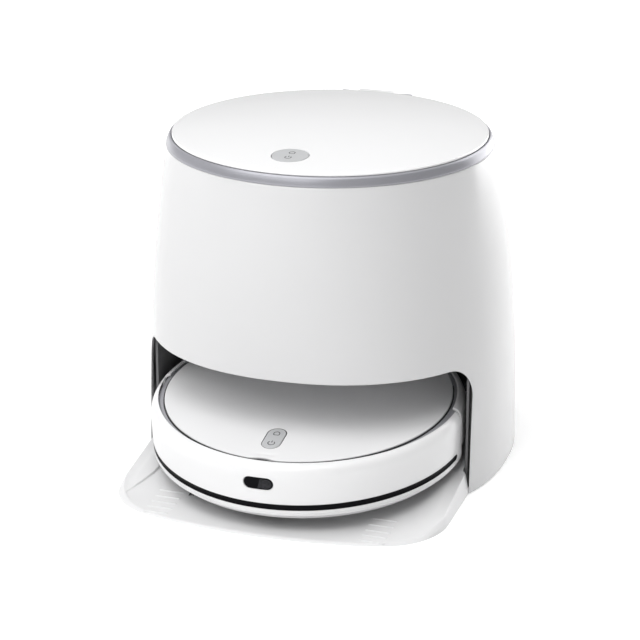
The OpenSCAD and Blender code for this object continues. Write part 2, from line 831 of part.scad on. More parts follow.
module side_brush_motor() {
    color("black") on_ramp() translate([side_brush_pos[0], side_brush_pos[1], 12.2])
        difference() {
            union() {
                box(26, 26, 16);
                translate([3, 3, 16]) cylinder(r = 10, h = 20, $fn = 48);
            }
            translate([0, 0, -1]) cylinder(r = 3 + fit, h = 10, $fn = 32);
        }
}

module main_brush() {
    blade = 4.5;
    color("black") on_ramp() translate([0, roller_y, roller_z]) {
        rod_x(roller_r - blade, 2 * roller_half);
        rod_x(3, 2 * roller_half + 14);
        for (k = [0:5]) rotate([60 * k, 0, 0]) translate([0, 0, roller_r - blade - 0.5])
            box(2 * roller_half - 4, 3, blade + 0.5);
    }
}

// Frame under the roller that keeps cords and rugs out of it
module brush_guard() {
    color("dimgray") on_ramp() difference() {
        translate([0, roller_y, pan_z - 4]) box(2 * roller_half + 22, 62, 3.8);
        translate([0, roller_y, pan_z - 6]) box(2 * roller_half + 4, 2 * roller_r + 5, 8);
    }
}

module mop_disc(s) {
    color("dimgray") on_ramp() translate([s * mop_pos[0], mop_pos[1], 0]) {
        translate([0, 0, 4.2]) cylinder(r = pad_r - 3, h = 2.6, $fn = 96);
        translate([0, 0, 6]) cylinder(r = 5.9, h = 20, $fn = 48);
    }
}

module mop_pad(s) {
    color("lightgray") on_ramp() translate([s * mop_pos[0], mop_pos[1], 0.3])
        cylinder(r = pad_r, h = 3.8, $fn = 96);
}

module mop_gearbox() {
    color("black") on_ramp() difference() {
        union() {
            translate([0, mop_pos[1], 12.2]) box(2 * mop_pos[0] + 34, 30, 18);
            translate([0, mop_pos[1], 30]) cylinder(r = 13, h = 22, $fn = 48);
        }
        for (s = [-1, 1]) translate([s * mop_pos[0], mop_pos[1], 10])
            cylinder(r = 5.9 + fit, h = 17, $fn = 48);
    }
}

// ---------- robot: insides ----------

module dust_bin() {
    color("lightgray") on_ramp() difference() {
        translate([0, -6, 13]) box(110, 62, 50);
        translate([0, -6, 15.2]) box(105.6, 57.6, 44);
        translate([0, -37, 20]) box(80, 10, 14);
        translate([0, 24, 26]) box(76, 8, 26);
    }
}

module bin_filter() {
    color("white") on_ramp() translate([0, 20.6, 24]) difference() {
        box(84, 4, 32);
        for (i = [-9:9]) translate([4 * i, 2, 3]) box(1.4, 3.2, 26);
    }
}

module battery() {
    color("royalblue") on_ramp() translate([0, 134, 12.4]) {
        for (i = [-2:2]) translate([19 * i, 0, 9.2]) rod_y(9.2, 26);
        box(90, 24, 6);
    }
}

module fan_housing() {
    color("dimgray") on_ramp() translate([0, 54, 14]) difference() {
        cylinder(r = 24, h = 42, $fn = 96);
        translate([0, 0, 3]) cylinder(r = 21, h = 34, $fn = 96);
        translate([0, -24, 12]) rod_y(10, 14);
        translate([0, 0, 30]) cylinder(r = 1.5 + fit, h = 11, $fn = 32);
        translate([0, 0, -1]) cylinder(r = 8, h = 10, $fn = 48);
    }
}

module fan_impeller() {
    color("black") on_ramp() translate([0, 54, 14]) {
        translate([0, 0, 18]) cylinder(r = 18, h = 2, $fn = 64);
        translate([0, 0, 9]) cylinder(r = 5, h = 10, $fn = 48);
        translate([0, 0, 19]) cylinder(r = 1.5, h = 21, $fn = 32);
        for (k = [0:8]) rotate([0, 0, 40 * k]) translate([10.5, 0, 10]) rotate([0, 0, 20])
            box(13, 1.4, 8.5);
    }
}

module main_board() {
    color("green") on_ramp() translate([0, 106, 58]) {
        box(110, 70, 1.6);
        translate([20, 6, 1.5]) box(16, 16, 2);
        translate([-26, -14, 1.5]) box(22, 12, 2.4);
    }
}

outer_shell();
rear_cover();
top_ring();
bottom_plate();
base_tray();
wash_board();
bay_liner();
tank_deck();
clean_tank();
clean_tank_lid();
clean_tank_handle();
waste_tank();
waste_tank_lid();
waste_tank_handle();
lid();
lid_liner();
lid_hinge_pin();
lid_button();
lid_board();
water_pumps();
hoses();
control_board();
power_supply();
mains_inlet();
charge_contacts();
station_feet();
station_screws();
chassis();
chassis_wall();
body_shell();
deck_ring();
top_cover();
power_button();
bumper();
bumper_strip();
sensor_window();
robot_terminals();
drive_modules();
wheel_axles();
mirror([1, 0, 0]) wheel_hub();  // wheel_hub_left
wheel_hub();  // wheel_hub_right
mirror([1, 0, 0]) tyre();  // tyre_left
tyre();  // tyre_right
caster_fork();
caster_wheel();
side_brush();
side_brush_motor();
main_brush();
brush_guard();
mop_disc(-1);  // mop_disc_left
mop_disc(1);  // mop_disc_right
mop_pad(-1);  // mop_pad_left
mop_pad(1);  // mop_pad_right
mop_gearbox();
dust_bin();
bin_filter();
battery();
fan_housing();
fan_impeller();
main_board();
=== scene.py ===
"""Looks of the round robot vacuum and its mop-washing base station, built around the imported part.

Lengths inside the shape functions are millimetres; add_mesh turns them into metres.
"""

import json
import math
import random

import bmesh
import bpy
from mathutils import Matrix, Vector, noise


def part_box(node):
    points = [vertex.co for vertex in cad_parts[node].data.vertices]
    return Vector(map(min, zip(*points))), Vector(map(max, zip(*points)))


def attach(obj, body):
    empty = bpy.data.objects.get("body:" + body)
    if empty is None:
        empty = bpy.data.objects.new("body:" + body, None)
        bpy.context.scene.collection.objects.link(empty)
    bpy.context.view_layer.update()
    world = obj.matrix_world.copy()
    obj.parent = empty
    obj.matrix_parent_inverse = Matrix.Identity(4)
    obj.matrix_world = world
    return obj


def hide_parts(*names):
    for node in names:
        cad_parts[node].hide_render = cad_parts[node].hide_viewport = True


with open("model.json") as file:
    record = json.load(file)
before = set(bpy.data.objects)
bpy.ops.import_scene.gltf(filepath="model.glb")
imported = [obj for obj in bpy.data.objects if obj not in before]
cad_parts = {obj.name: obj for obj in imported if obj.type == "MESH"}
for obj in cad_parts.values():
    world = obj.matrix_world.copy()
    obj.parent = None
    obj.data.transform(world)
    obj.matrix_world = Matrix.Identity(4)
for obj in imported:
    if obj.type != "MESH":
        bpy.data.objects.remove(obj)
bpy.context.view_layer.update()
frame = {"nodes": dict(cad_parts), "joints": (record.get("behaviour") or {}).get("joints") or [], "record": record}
record = frame["record"]
BODY_OF = {n: b for b, nodes in record["behaviour"]["bodies"].items() for n in nodes}
SLOT_OF = {part["node"]: part["material_slot"] for part in record["subparts"]}
JOINT = {joint["name"]: joint for joint in frame["joints"]}
MM = 0.001

# ---------- sizes shared with the part, in millimetres ----------

BASE_HALF_W, BASE_HALF_D = 202.5, 207.5   # half-width and half-depth of the body at the floor
TOP_R, SHELL_H = 178.9, 359.8             # round top edge of the body
SHELL_WALL, FOOT_GAP = 3.0, 0.8
LID_Y, SHELL_Y = 16.0, 33.0               # centre lines of the lid and of the body's foot
BASE_N, BULGE = 2.35, 2.86
MOUTH_H, MOUTH_HALF_W = 149.0, 185.0
CORNER_W, CORNER_H = 18.0, 38.0           # the mouth's rounded upper corners
PANEL_HALF_W, PANEL_Z = 104.0, (16.0, 332.0)
GAP = 0.4
PANEL_ROWS, REAR_COLUMNS, FOOT_ROWS = 52, 20, 12         # how finely the body's skin is divided
LID_R, LID_TOP, LID_T, DOME_R = 172.4, 381.5, 2.6, 1650.0
LID_BUTTON_R, BUTTON_POS = 19.4, (-4.5, -124.0)
HINGE_Y, HINGE_Z, HINGE_R = 196.5, 364.9, 4.5
RING_HOLE_R = 166.0
WHEEL_X, WHEEL_Y, WHEEL_R, WHEEL_W = 118.0, 5.0, 32.0, 18.0
ROBOT_R, COVER_R, TOP_Z, BODY_R = 174.0, 158.3, 73.0, 173.0
COVER_APEX = TOP_Z + 7.2
BUMPER_HALF, SHELL_HALF, STRIP_HALF = 89.0, 90.4, 84.0   # degrees to each side of the front
RIM_Z, STRIP_Z = 15.2, (22.3, 29.1)
LIP_BACK = 5.6
LIP_R = COVER_R + 2.0 + 1.4 + LIP_BACK
WINDOW_Z, WINDOW_H = 52.0, 13.6
WINDOW_SPAN = ROBOT_R * math.sin(math.radians(5.3))
POWER_Y, POWER_W, POWER_L = -118.0, 20, 39               # the robot's pill-shaped button
ICON_WIDTH, ICON_THICK = 0.95, 0.05
CONTACT_X = 30.0
MOP_X, MOP_Y, PAD_R = 67.0, 96.0, 64.0
ROLLER_Y, ROLLER_Z, ROLLER_R, ROLLER_HALF = -62.0, 17.5, 16.0, 74.0
SIDE_BRUSH = (-100.0, -100.0)
TRAY_CORNER, TRAY_CORNER_R = (110.4, -152.5), 74.0       # round front corners of the tray
TRAY_FRONT, TRAY_BACK, TRAY_EDGE = -240.3, 126.0, 1.6
RAMP = ((-240.5, 1.6), (-189.0, 3.5), (-61.5, 21.35), (127.0, 40.2))      # (y, z)
CHEEK_STEP = ((130.0, 150.5), (-128.0, 150.5), (-144.0, 153.0), (-164.0, 160.0),
              (-184.0, 167.6), (-204.0, 173.0))                           # (y, x)
CHEEK_Y, CHEEK_SLOPE = -210.9, 0.156      # where the cheeks' top starts, and how fast it climbs
CHEEK_DISH, CHEEK_RIM = 0.42, 13.0        # how deep the cheeks are dished, and their rim's width
STEP_HALF = 0.8                           # half-width of the finely divided step


# ---------- mesh helpers ----------

def robot_matrix():
    """The robot's own level frame: it stands nose down on the ramp."""
    left, right = (Vector(JOINT[f"wheel_{s}_spin"]["pos_m"]) for s in ("left", "right"))
    up = Vector(JOINT["mop_left_spin"]["axis"])
    turn = Matrix.Rotation(math.atan2(-up.y, up.z), 4, "X")
    axle = Matrix.Translation((0, -WHEEL_Y * MM, -WHEEL_R * MM))
    return Matrix.Translation((left + right) / 2) @ turn @ axle


ROBOT = robot_matrix()


def shift(x, y, z):
    return Matrix.Translation((x * MM, y * MM, z * MM))


def add_mesh(name, shape, placed=None, weld=0.004):
    """A new object from (points in mm, faces), put in place by a matrix in metres."""
    points, faces = shape
    placed = placed or Matrix.Identity(4)
    bm = bmesh.new()
    made = [bm.verts.new(placed @ (Vector(p) * MM)) for p in points]
    for face in faces:
        try:
            bm.faces.new([made[i] for i in face])
        except ValueError:
            continue
    bmesh.ops.remove_doubles(bm, verts=bm.verts, dist=weld * MM)
    bmesh.ops.recalc_face_normals(bm, faces=bm.faces)
    mesh = bpy.data.meshes.new(name)
    bm.to_mesh(mesh)
    bm.free()
    obj = bpy.data.objects.new(name, mesh)
    bpy.context.scene.collection.objects.link(obj)
    return obj


def bake(obj):
    """Applies the object's modifiers."""
    graph = bpy.context.evaluated_depsgraph_get()
    baked = bpy.data.meshes.new_from_object(obj.evaluated_get(graph))
    old = obj.data
    obj.modifiers.clear()
    obj.data = baked
    bpy.data.meshes.remove(old)


def cut(obj, *cutters):
    """Cuts closed shapes, each (shape, matrix), out of the object."""
    for shape, placed in cutters:
        cutter = add_mesh("cutter", shape, placed)
        mod = obj.modifiers.new("cut", "BOOLEAN")
        mod.operation, mod.solver, mod.object = "DIFFERENCE", "EXACT", cutter
        bake(obj)
        bpy.data.objects.remove(cutter)


def soften(obj, width, angle=42.0, segments=3):
    """Rounds the object's sharp edges."""
    mod = obj.modifiers.new("soften", "BEVEL")
    mod.width, mod.segments = width * MM, segments
    mod.limit_method, mod.angle_limit = "ANGLE", math.radians(angle)
    bake(obj)


def finish(obj, body, slot, replaces=(), sharp=38.0, look=None):
    """Smooth shading, the slot's material or another look, and the CAD body it rides on."""
    obj.data.shade_smooth()
    obj.data.set_sharp_from_angle(angle=math.radians(sharp))
    obj.data.materials.clear()
    obj.data.materials.append(look or MATERIALS[slot])
    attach(obj, body)
    if replaces:
        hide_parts(*replaces)


def merged(*shapes):
    """Several shapes as one."""
    points, faces = [], []
    for more_points, more_faces in shapes:
        base = len(points)
        points += list(more_points)
        faces += [tuple(i + base for i in face) for face in more_faces]
    return points, faces


def moved(shape, matrix):
    """The shape moved by a matrix whose lengths are millimetres."""
    return [tuple(matrix @ Vector(p)) for p in shape[0]], shape[1]


def revolve(profile, start=0.0, sweep=360.0, steps=256):
    """A closed profile of (radius, z) turned about Z, with end caps where it isn't a full turn."""
    full = sweep > 359.9
    count = steps if full else steps + 1
    points = []
    for i in range(count):
        turn = math.radians(start + sweep * i / steps)
        points += [(r * math.cos(turn), r * math.sin(turn), z) for r, z in profile]
    n = len(profile)
    faces = []
    for i in range(steps):
        j = (i + 1) % count
        for k in range(n):
            m = (k + 1) % n
            faces.append((i * n + k, j * n + k, j * n + m, i * n + m))
    if not full:
        faces += [tuple(range(n)), tuple((count - 1) * n + k for k in range(n))]
    return points, faces


def stack(levels):
    """Closed outlines of equal length, each a list of (x, y, z), joined from first to last."""
    n = len(levels[0])
    points = [p for level in levels for p in level]
    faces = [tuple(range(n)), tuple(len(points) - n + i for i in range(n))]
    for k in range(len(levels) - 1):
        for i in range(n):
            j = (i + 1) % n
            faces.append((k * n + i, k * n + j, (k + 1) * n + j, (k + 1) * n + i))
    return points, faces


def rounded(corners, steps=4):
    """A closed outline of (x, y, rounding) with its corners rounded."""
    out = []
    for i, (x, y, size) in enumerate(corners):
        if not size:
            out.append((x, y))
            continue
        here = Vector((x, y))
        back = Vector(corners[i - 1][:2]) - here
        ahead = Vector(corners[(i + 1) % len(corners)][:2]) - here
        first = here + back.normalized() * min(size, back.length * 0.45)
        last = here + ahead.normalized() * min(size, ahead.length * 0.45)
        for k in range(steps + 1):
            t = k / steps
            q = first * (1 - t) ** 2 + here * 2 * t * (1 - t) + last * t * t
            out.append((q.x, q.y))
    return out


def pill(width, length, grow=0.0, steps=14):
    """Outline of a pill long along Y."""
    r = width / 2
    out = []
    for end, base in ((1, 0), (-1, 180)):
        for i in range(steps + 1):
            turn = math.radians(base + 180 * i / steps)
            out.append(((r + grow) * math.cos(turn),
                        end * (length / 2 - r) + (r + grow) * math.sin(turn)))
    return out


def prism(outline, heights):
    """An upright shape: the (x, y) outline at each height."""
    return stack([[(x, y, z) for x, y in outline] for z in heights])


def flared(outline_at, levels):
    """An upright shape: outline_at(grow) at each (height, grow)."""
    return stack([[(x, y, z) for x, y in outline_at(grow)] for z, grow in levels])


def circle(radius, steps=96):
    turns = [2 * math.pi * i / steps for i in range(steps)]
    return [(radius * math.cos(t), radius * math.sin(t)) for t in turns]


def block(x, y, z, low=(0, 0, 0), corner=1.0):
    """A box with rounded upright edges, standing on low and centred in X and Y."""
    half_x, half_y = x / 2, y / 2
    outline = rounded([(-half_x, -half_y, corner), (half_x, -half_y, corner),
                       (half_x, half_y, corner), (-half_x, half_y, corner)])
    return stack([[(low[0] + a, low[1] + b, low[2] + h) for a, b in outline] for h in (0, z)])


def barrel(radius, length, centre, edge=0.5, steps=64):
    """A rod along X with rounded ends."""
    half = length / 2
    profile = rounded([(0, -half, 0), (radius, -half, edge), (radius, half, edge), (0, half, 0)])
    shape = revolve(profile, steps=steps)
    return moved(shape, Matrix.Translation(centre) @ Matrix.Rotation(math.pi / 2, 4, "Y"))


def dome(r, apex):
    return apex - r * r / (2 * DOME_R)


def bezier(a, b, c, steps):
    """Points strictly between a and c on the quadratic curve pulled towards b."""
    a, b, c = Vector(a), Vector(b), Vector(c)
    ts = [i / steps for i in range(1, steps)]
    return [tuple(a * (1 - t) ** 2 + b * 2 * t * (1 - t) + c * t * t) for t in ts]


def on_wall(along, radius, z):
    """A point on the robot's upright wall, at a distance round from the middle of the front."""
    turn = -math.pi / 2 + along / ROBOT_R
    return (radius * math.cos(turn), radius * math.sin(turn), z)


def wrapped(outline, radius):
    """(distance round the front, z) points laid on the robot's upright wall."""
    return [on_wall(along, radius, z) for along, z in outline]


def stadium(half, z0, z1, grow=0.0, steps=8, pieces=1):
    """Outline of a long slot with round ends, as (distance round the front, z)."""
    r = (z1 - z0) / 2 + grow
    mid, run = (z0 + z1) / 2, half - (z1 - z0) / 2
    right = [(run + r * math.sin(math.pi * i / steps), mid - r * math.cos(math.pi * i / steps))
             for i in range(steps + 1)]
    left = [(-x, 2 * mid - z) for x, z in right]
    top = [(run - 2 * run * i / pieces, mid + r) for i in range(1, pieces)]
    low = [(-run + 2 * run * i / pieces, mid - r) for i in range(1, pieces)]
    return right + top + left + low


# ---------- materials ----------

ROUGH_VARY = 0.12     # how far the roughness wanders, as a share


def set_inputs(node, values):
    for key, value in values.items():
        node.inputs[key].default_value = value


def material(name, colour, rough, vary=0.02, drift=7.0, grain=700.0, bump=0.05, depth=0.05,
             coat=0.0, metal=0.0, sheen=0.0, specular=0.5):
    """Moulded plastic, metal or paint: slow colour drift, uneven gloss and a fine grain."""
    mat = bpy.data.materials.new(name)
    mat.use_nodes = True
    tree = mat.node_tree
    shader = tree.nodes["Principled BSDF"]
    place = tree.nodes.new("ShaderNodeTexCoord").outputs["Object"]

    def noise_at(scale, detail):
        node = tree.nodes.new("ShaderNodeTexNoise")
        set_inputs(node, {"Scale": scale, "Detail": detail})
        tree.links.new(place, node.inputs["Vector"])
        return node.outputs["Fac"]

    slow, fine = noise_at(drift, 3.0), noise_at(grain, 2.0)
    tint = tree.nodes.new("ShaderNodeValToRGB")
    for stop, k in zip(tint.color_ramp.elements, (1 - vary, 1 + vary)):
        stop.color = (*[min(1.0, c * k) for c in colour], 1.0)
    tint.color_ramp.elements[0].position, tint.color_ramp.elements[1].position = 0.3, 0.7
    tree.links.new(slow, tint.inputs["Fac"])
    tree.links.new(tint.outputs["Color"], shader.inputs["Base Color"])
    gloss = tree.nodes.new("ShaderNodeMapRange")
    set_inputs(gloss, {"To Min": rough * (1 - ROUGH_VARY), "To Max": rough * (1 + ROUGH_VARY)})
    tree.links.new(noise_at(drift * 6, 2.0), gloss.inputs["Value"])
    tree.links.new(gloss.outputs["Result"], shader.inputs["Roughness"])
    relief = tree.nodes.new("ShaderNodeBump")
    set_inputs(relief, {"Strength": bump, "Distance": depth * MM})
    tree.links.new(fine, relief.inputs["Height"])
    tree.links.new(relief.outputs["Normal"], shader.inputs["Normal"])
    set_inputs(shader, {"Metallic": metal, "Coat Weight": coat, "Coat Roughness": 0.08,
                        "Sheen Weight": sheen, "Specular IOR Level": specular})
    return mat


def see_through(name, colour, rough, opacity):
    mat = material(name, colour, rough, bump=0.04, coat=0.2)
    shader = mat.node_tree.nodes["Principled BSDF"]
    set_inputs(shader, {"Transmission Weight": 1 - opacity, "IOR": 1.2})
    return mat


def fabric(name, colour, loops=900.0):
    """Microfibre: a fine looped pile with a soft sheen."""
    mat = material(name, colour, 0.95, vary=0.06, drift=60.0, grain=loops, bump=0.7, depth=0.5,
                   sheen=0.4, specular=0.2)
    tree = mat.node_tree
    cells = tree.nodes.new("ShaderNodeTexVoronoi")
    cells.inputs["Scale"].default_value = loops * 0.6
    place = next(n for n in tree.nodes if n.bl_idname == "ShaderNodeTexCoord")
    relief = next(n for n in tree.nodes if n.bl_idname == "ShaderNodeBump")
    tree.links.new(place.outputs["Object"], cells.inputs["Vector"])
    tree.links.new(cells.outputs["Distance"], relief.inputs["Height"])
    return mat


SATIN = dict(vary=0.006, grain=160.0, bump=0.03, depth=0.03)
PLASTICS = {    # colour, roughness and the rest
    # Painted shade: the station body's skin takes a darker copy of the lid's white plastic, so its upright walls
    # look more shaded than the lamps alone make them.
    "shell_white": ((0.63, 0.63, 0.635), 0.2, SATIN),
    "lid_white": ((0.84, 0.84, 0.845), 0.16, SATIN),
    "trim_grey": ((0.33, 0.33, 0.36), 0.32, dict(vary=0.03, metal=0.35)),
    "tray_white": ((0.74, 0.74, 0.745), 0.42, dict(vary=0.012, grain=1400.0, bump=0.18)),
    "bay_grey": ((0.14, 0.14, 0.143), 0.5, dict(vary=0.08, grain=1600.0, bump=0.3, depth=0.1)),
    "inner_plastic": ((0.66, 0.66, 0.67), 0.45, dict(vary=0.02, grain=1200.0, bump=0.15)),
    "handle_blue": ((0.12, 0.28, 0.50), 0.4, dict(vary=0.04, bump=0.12)),
    "handle_grey": ((0.10, 0.10, 0.11), 0.4, dict(vary=0.06, bump=0.12)),
    "button_grey": ((0.50, 0.505, 0.515), 0.38, dict(vary=0.015, grain=1600.0, bump=0.1)),
    "steel": ((0.62, 0.62, 0.64), 0.28, dict(vary=0.05, drift=40.0, metal=1.0)),
    "contact_metal": ((0.83, 0.62, 0.28), 0.25, dict(vary=0.06, metal=1.0)),
    "board": ((0.02, 0.16, 0.06), 0.35, dict(vary=0.25, drift=220.0, coat=0.3)),
    "black_plastic": ((0.018, 0.018, 0.019), 0.45, dict(vary=0.15, bump=0.2)),
    "dark_plastic": ((0.045, 0.045, 0.048), 0.5, dict(vary=0.1, grain=1500.0, bump=0.25,
        depth=0.08)),
    "window_black": ((0.004, 0.004, 0.005), 0.4, dict(vary=0.2, bump=0.01, specular=0.04)),
    "robot_white": ((0.80, 0.80, 0.805), 0.24, SATIN),
    "ring_grey": ((0.36, 0.36, 0.385), 0.3, dict(vary=0.03, metal=0.2)),
    "hub_grey": ((0.26, 0.26, 0.27), 0.45, dict(vary=0.05, bump=0.15)),
    "tyre_rubber": ((0.016, 0.016, 0.017), 0.8, dict(vary=0.25, grain=1300.0, bump=0.5, depth=0.15,
        specular=0.3)),
    "foot_rubber": ((0.06, 0.06, 0.062), 0.85, dict(vary=0.15, bump=0.4, depth=0.1, specular=0.3)),
    "brush_fibre": ((0.03, 0.03, 0.033), 0.55, dict(vary=0.3, drift=300.0, bump=0.3)),
    "battery_wrap": ((0.02, 0.09, 0.34), 0.3, dict(vary=0.06, coat=0.2)),
}
MATERIALS = {name: material(name, colour, rough, **more)
             for name, (colour, rough, more) in PLASTICS.items()}
MATERIALS["clear_tank"] = see_through("clear_tank", (0.62, 0.72, 0.82), 0.12, 0.35)
MATERIALS["waste_tank"] = see_through("waste_tank", (0.16, 0.17, 0.19), 0.15, 0.55)
MATERIALS["mop_cloth"] = fabric("mop_cloth", (0.52, 0.54, 0.57))
MATERIALS["filter_paper"] = fabric("filter_paper", (0.74, 0.74, 0.71), loops=2200.0)
ICON_GREY = material("icon_grey", (0.07, 0.07, 0.075), 0.5, vary=0.1, bump=0.05)
RECEIVER_GREY = material("receiver_grey", (0.03, 0.03, 0.033), 0.4, vary=0.3, drift=400.0,
                         bump=0.1, specular=0.05)


# ---------- station: body ----------

def body_half(z, inset):
    """Half-width, half-depth, centre Y and squareness of the body at height z."""
    k = 1 - (max(z, 0.0) / SHELL_H) ** BULGE
    inset += 0.2     # the part's outline is a polygon inside this curve
    squareness = 2 + (BASE_N - 2) * (1 - min(z, SHELL_H) / SHELL_H)
    return (TOP_R + (BASE_HALF_W - TOP_R) * k - inset, TOP_R + (BASE_HALF_D - TOP_R) * k - inset,
            LID_Y + (SHELL_Y - LID_Y) * k, squareness)


def skin_at_x(x, z, inset, side):
    a, b, middle, n = body_half(z, inset)
    share = max(0.0, 1 - (abs(x) / a) ** n)
    return (x, middle + side * b * share ** (1 / n), z)


def skin_at_turn(turn, z, inset):
    a, b, middle, n = body_half(z, inset)
    s = math.sin(turn)
    return (a * abs(math.cos(turn)) ** (2 / n),
            middle + math.copysign(b * abs(s) ** (2 / n), s), z)


def turn_of(x, z, inset):
    a, _, _, n = body_half(z, inset)
    return math.acos(min(1.0, x / a) ** (n / 2))


def drawn_in(z):
    """How much narrower the body is at z than at the mouth's lip."""
    return min(1.0, body_half(z, 0)[0] / body_half(MOUTH_H, 0)[0])


def column_low(column, grow):
    """Height at which a column of the front starts: the mouth's outline."""
    kind, value = column
    if kind == "front":
        return MOUTH_H + grow
    if kind == "corner":
        return MOUTH_H - CORNER_H + (CORNER_H + grow) * math.cos(value)
    return MOUTH_H - CORNER_H


def column_point(column, z, inset, grow):
    kind, value = column
    if kind == "front":
        return skin_at_x(value * drawn_in(z), z, inset, -1)
    if kind == "corner":
        x = MOUTH_HALF_W - CORNER_W + (CORNER_W + grow) * math.sin(value)
        return skin_at_x(x * drawn_in(z), z, inset, -1)
    if kind == "side":
        edge = turn_of((MOUTH_HALF_W + grow) * drawn_in(z), z, inset)
        return skin_at_turn(-edge * (1 - value), z, inset)
    if kind == "back":
        return skin_at_turn(turn_of(PANEL_HALF_W + GAP, z, inset) * value, z, inset)
    return skin_at_x(value, z, inset, 1)


def shell_columns():
    """Columns of the body's right half, from the middle of the front to the middle of the back."""
    straight = MOUTH_HALF_W - CORNER_W
    columns = [("front", straight * i / 44) for i in range(45)]
    columns += [("corner", math.pi / 2 * i / 12) for i in range(1, 13)]
    columns += [("side", i / 26) for i in range(1, 27)]
    columns += [("back", i / 36) for i in range(1, 37)]
    columns += [("rear", (PANEL_HALF_W + GAP) * (1 - i / REAR_COLUMNS))
                for i in range(1, REAR_COLUMNS + 1)]
    return columns


def shell_shape():
    """The body's skin with the mouth, its rolled lip, and the opening for the rear cover."""
    lip, crown = 1.3, 1.4
    half = shell_columns()
    around = [(c, 1) for c in half] + [(c, -1) for c in reversed(half[1:-1])]
    n = len(around)
    edge = half.index(("corner", math.pi / 2))
    panel_first = len(half) - REAR_COLUMNS - 1
    low_z = MOUTH_H - CORNER_H
    open_z = (PANEL_Z[0] - GAP, PANEL_Z[1] + GAP)
    share = (open_z[1] - low_z) / (SHELL_H - crown - low_z)
    shares = [share * i / PANEL_ROWS for i in range(PANEL_ROWS)]
    shares += [share + (1 - share) * i / 8 for i in range(9)]
    feet = [FOOT_GAP, open_z[0]]
    feet += [open_z[0] + (low_z - open_z[0]) * i / FOOT_ROWS for i in range(1, FOOT_ROWS)]

    def at(column, side, z, inset, grow):
        x, y, z = column_point(column, z, inset, grow)
        return (side * x, y, z)

    points, inner_of, faces = [], {}, []

    def put(point, inner=None):
        points.append(point)
        if inner is not None:
            inner_of[len(points) - 1] = inner
        return len(points) - 1

    def grid(inset, grow, top):
        """Vertex numbers of the upper grid and of the feet beside the mouth."""
        upper, lower = [], []
        for column, side in around:
            low = column_low(column, grow)
            upper.append([put(at(column, side, low + (top - low) * f, inset, grow))
                          for f in shares])
            foot = column[0] != "front" and (column[0] != "corner" or column == half[edge])
            lower.append([put(at(column, side, z, inset, grow)) for z in feet] + [upper[-1][0]]
                         if foot else None)
        return upper, lower

    inner_up, inner_low = grid(SHELL_WALL, 0.0, SHELL_H)
    outer_up, outer_low = grid(0.0, lip, SHELL_H - crown)

    def is_panel(i):
        return panel_first <= (i if i < len(half) else n - i) < len(half)

    def quads(upper, lower, rows):
        for i in range(n):
            j = (i + 1) % n
            opening = is_panel(i) and is_panel(j)
            for k in range(rows):
                if not (opening and k < PANEL_ROWS):
                    faces.append((upper[i][k], upper[j][k], upper[j][k + 1], upper[i][k + 1]))
            if lower[i] and lower[j]:
                for k in range(len(feet)):
                    if not (opening and k >= 1):
                        faces.append((lower[i][k], lower[j][k], lower[j][k + 1], lower[i][k + 1]))

    quads(inner_up, inner_low, len(shares) - 1)
    first_outer = len(faces)
    for i in range(n):
        for a, b in zip(outer_up[i], inner_up[i]):
            inner_of[a] = b
        for a, b in zip(outer_low[i] or [], inner_low[i] or []):
            inner_of[a] = b
        column, side = around[i]
        for k in range(1, 5):
            turn = math.pi / 8 * k
            outer_up[i].append(put(at(column, side, SHELL_H - crown + crown * math.sin(turn),
                                      crown * (1 - math.cos(turn)), lip), inner_up[i][-1]))
    quads(outer_up, outer_low, len(shares) + 3)

    # The rolled lip round the mouth, from the left foot over the top to the right foot
    rim = []
    for k in range(len(feet)):
        rim.append((n - edge, outer_low[n - edge][k], feet[k]))
    for i in list(range(n - edge, n)) + list(range(0, edge + 1)):
        rim.append((i, outer_up[i][0], None))
    for k in reversed(range(len(feet))):
        rim.append((edge, outer_low[edge][k], feet[k]))
    rolls = []
    for i, outer, z in rim:
        column, side = around[i]
        height = column_low(column, 0.0) if z is None else z
        corner = Vector(at(column, side, height, 0.0, 0.0))
        inside = corner + Vector((0, lip, 0))
        inner = inner_of[outer]
        middle = [put(p) for p in bezier(points[outer], corner, inside, 6)]
        rolls.append([outer] + middle + [put(tuple(inside), inner)])
    for a, b in zip(rolls, rolls[1:]):
        for k in range(len(a) - 1):
            faces.append((a[k], b[k], b[k + 1], a[k + 1]))
    for roll in (rolls[0], rolls[-1]):
        faces.append(tuple(roll) + (inner_of[roll[-1]],))

    # Walls that join the outer skin to the inner one along every open edge
    uses = {}
    for face in faces[first_outer:-2]:
        for a, b in zip(face, face[1:] + face[:1]):
            key = (min(a, b), max(a, b))
            uses[key] = uses.get(key, 0) + 1
    for (a, b), count in uses.items():
        if count == 1 and a in inner_of and b in inner_of and inner_of[a] != inner_of[b]:
            faces.append((a, b, inner_of[b], inner_of[a]))
    return points, faces


def rear_cover_shape():
    columns, rows = 36, 60
    points = []
    for inset in (0.0, SHELL_WALL):
        for i in range(columns + 1):
            x = PANEL_HALF_W * (2 * i / columns - 1)
            for k in range(rows + 1):
                z = PANEL_Z[0] + (PANEL_Z[1] - PANEL_Z[0]) * k / rows
                points.append(skin_at_x(x, z, inset, 1))
    half = len(points) // 2
    faces = []
    step = rows + 1
    for base in (0, half):
        for i in range(columns):
            for k in range(rows):
                a = base + i * step + k
                faces.append((a, a + step, a + step + 1, a + 1))
    rim = [i * step for i in range(columns + 1)] + [columns * step + k for k in range(1, step)]
    rim += [i * step + rows for i in reversed(range(columns))]
    rim += list(reversed(range(1, rows)))
    for a, b in zip(rim, rim[1:] + rim[:1]):
        faces.append((a, b, half + b, half + a))
    return points, faces


def slot_cutter(width, height, x, z):
    """An upright slot with round ends, through the body's rear wall."""
    outline = pill(height, width)
    return stack([[(x + v, y, z + u) for u, v in outline] for y in (205.0, 260.0)]), None


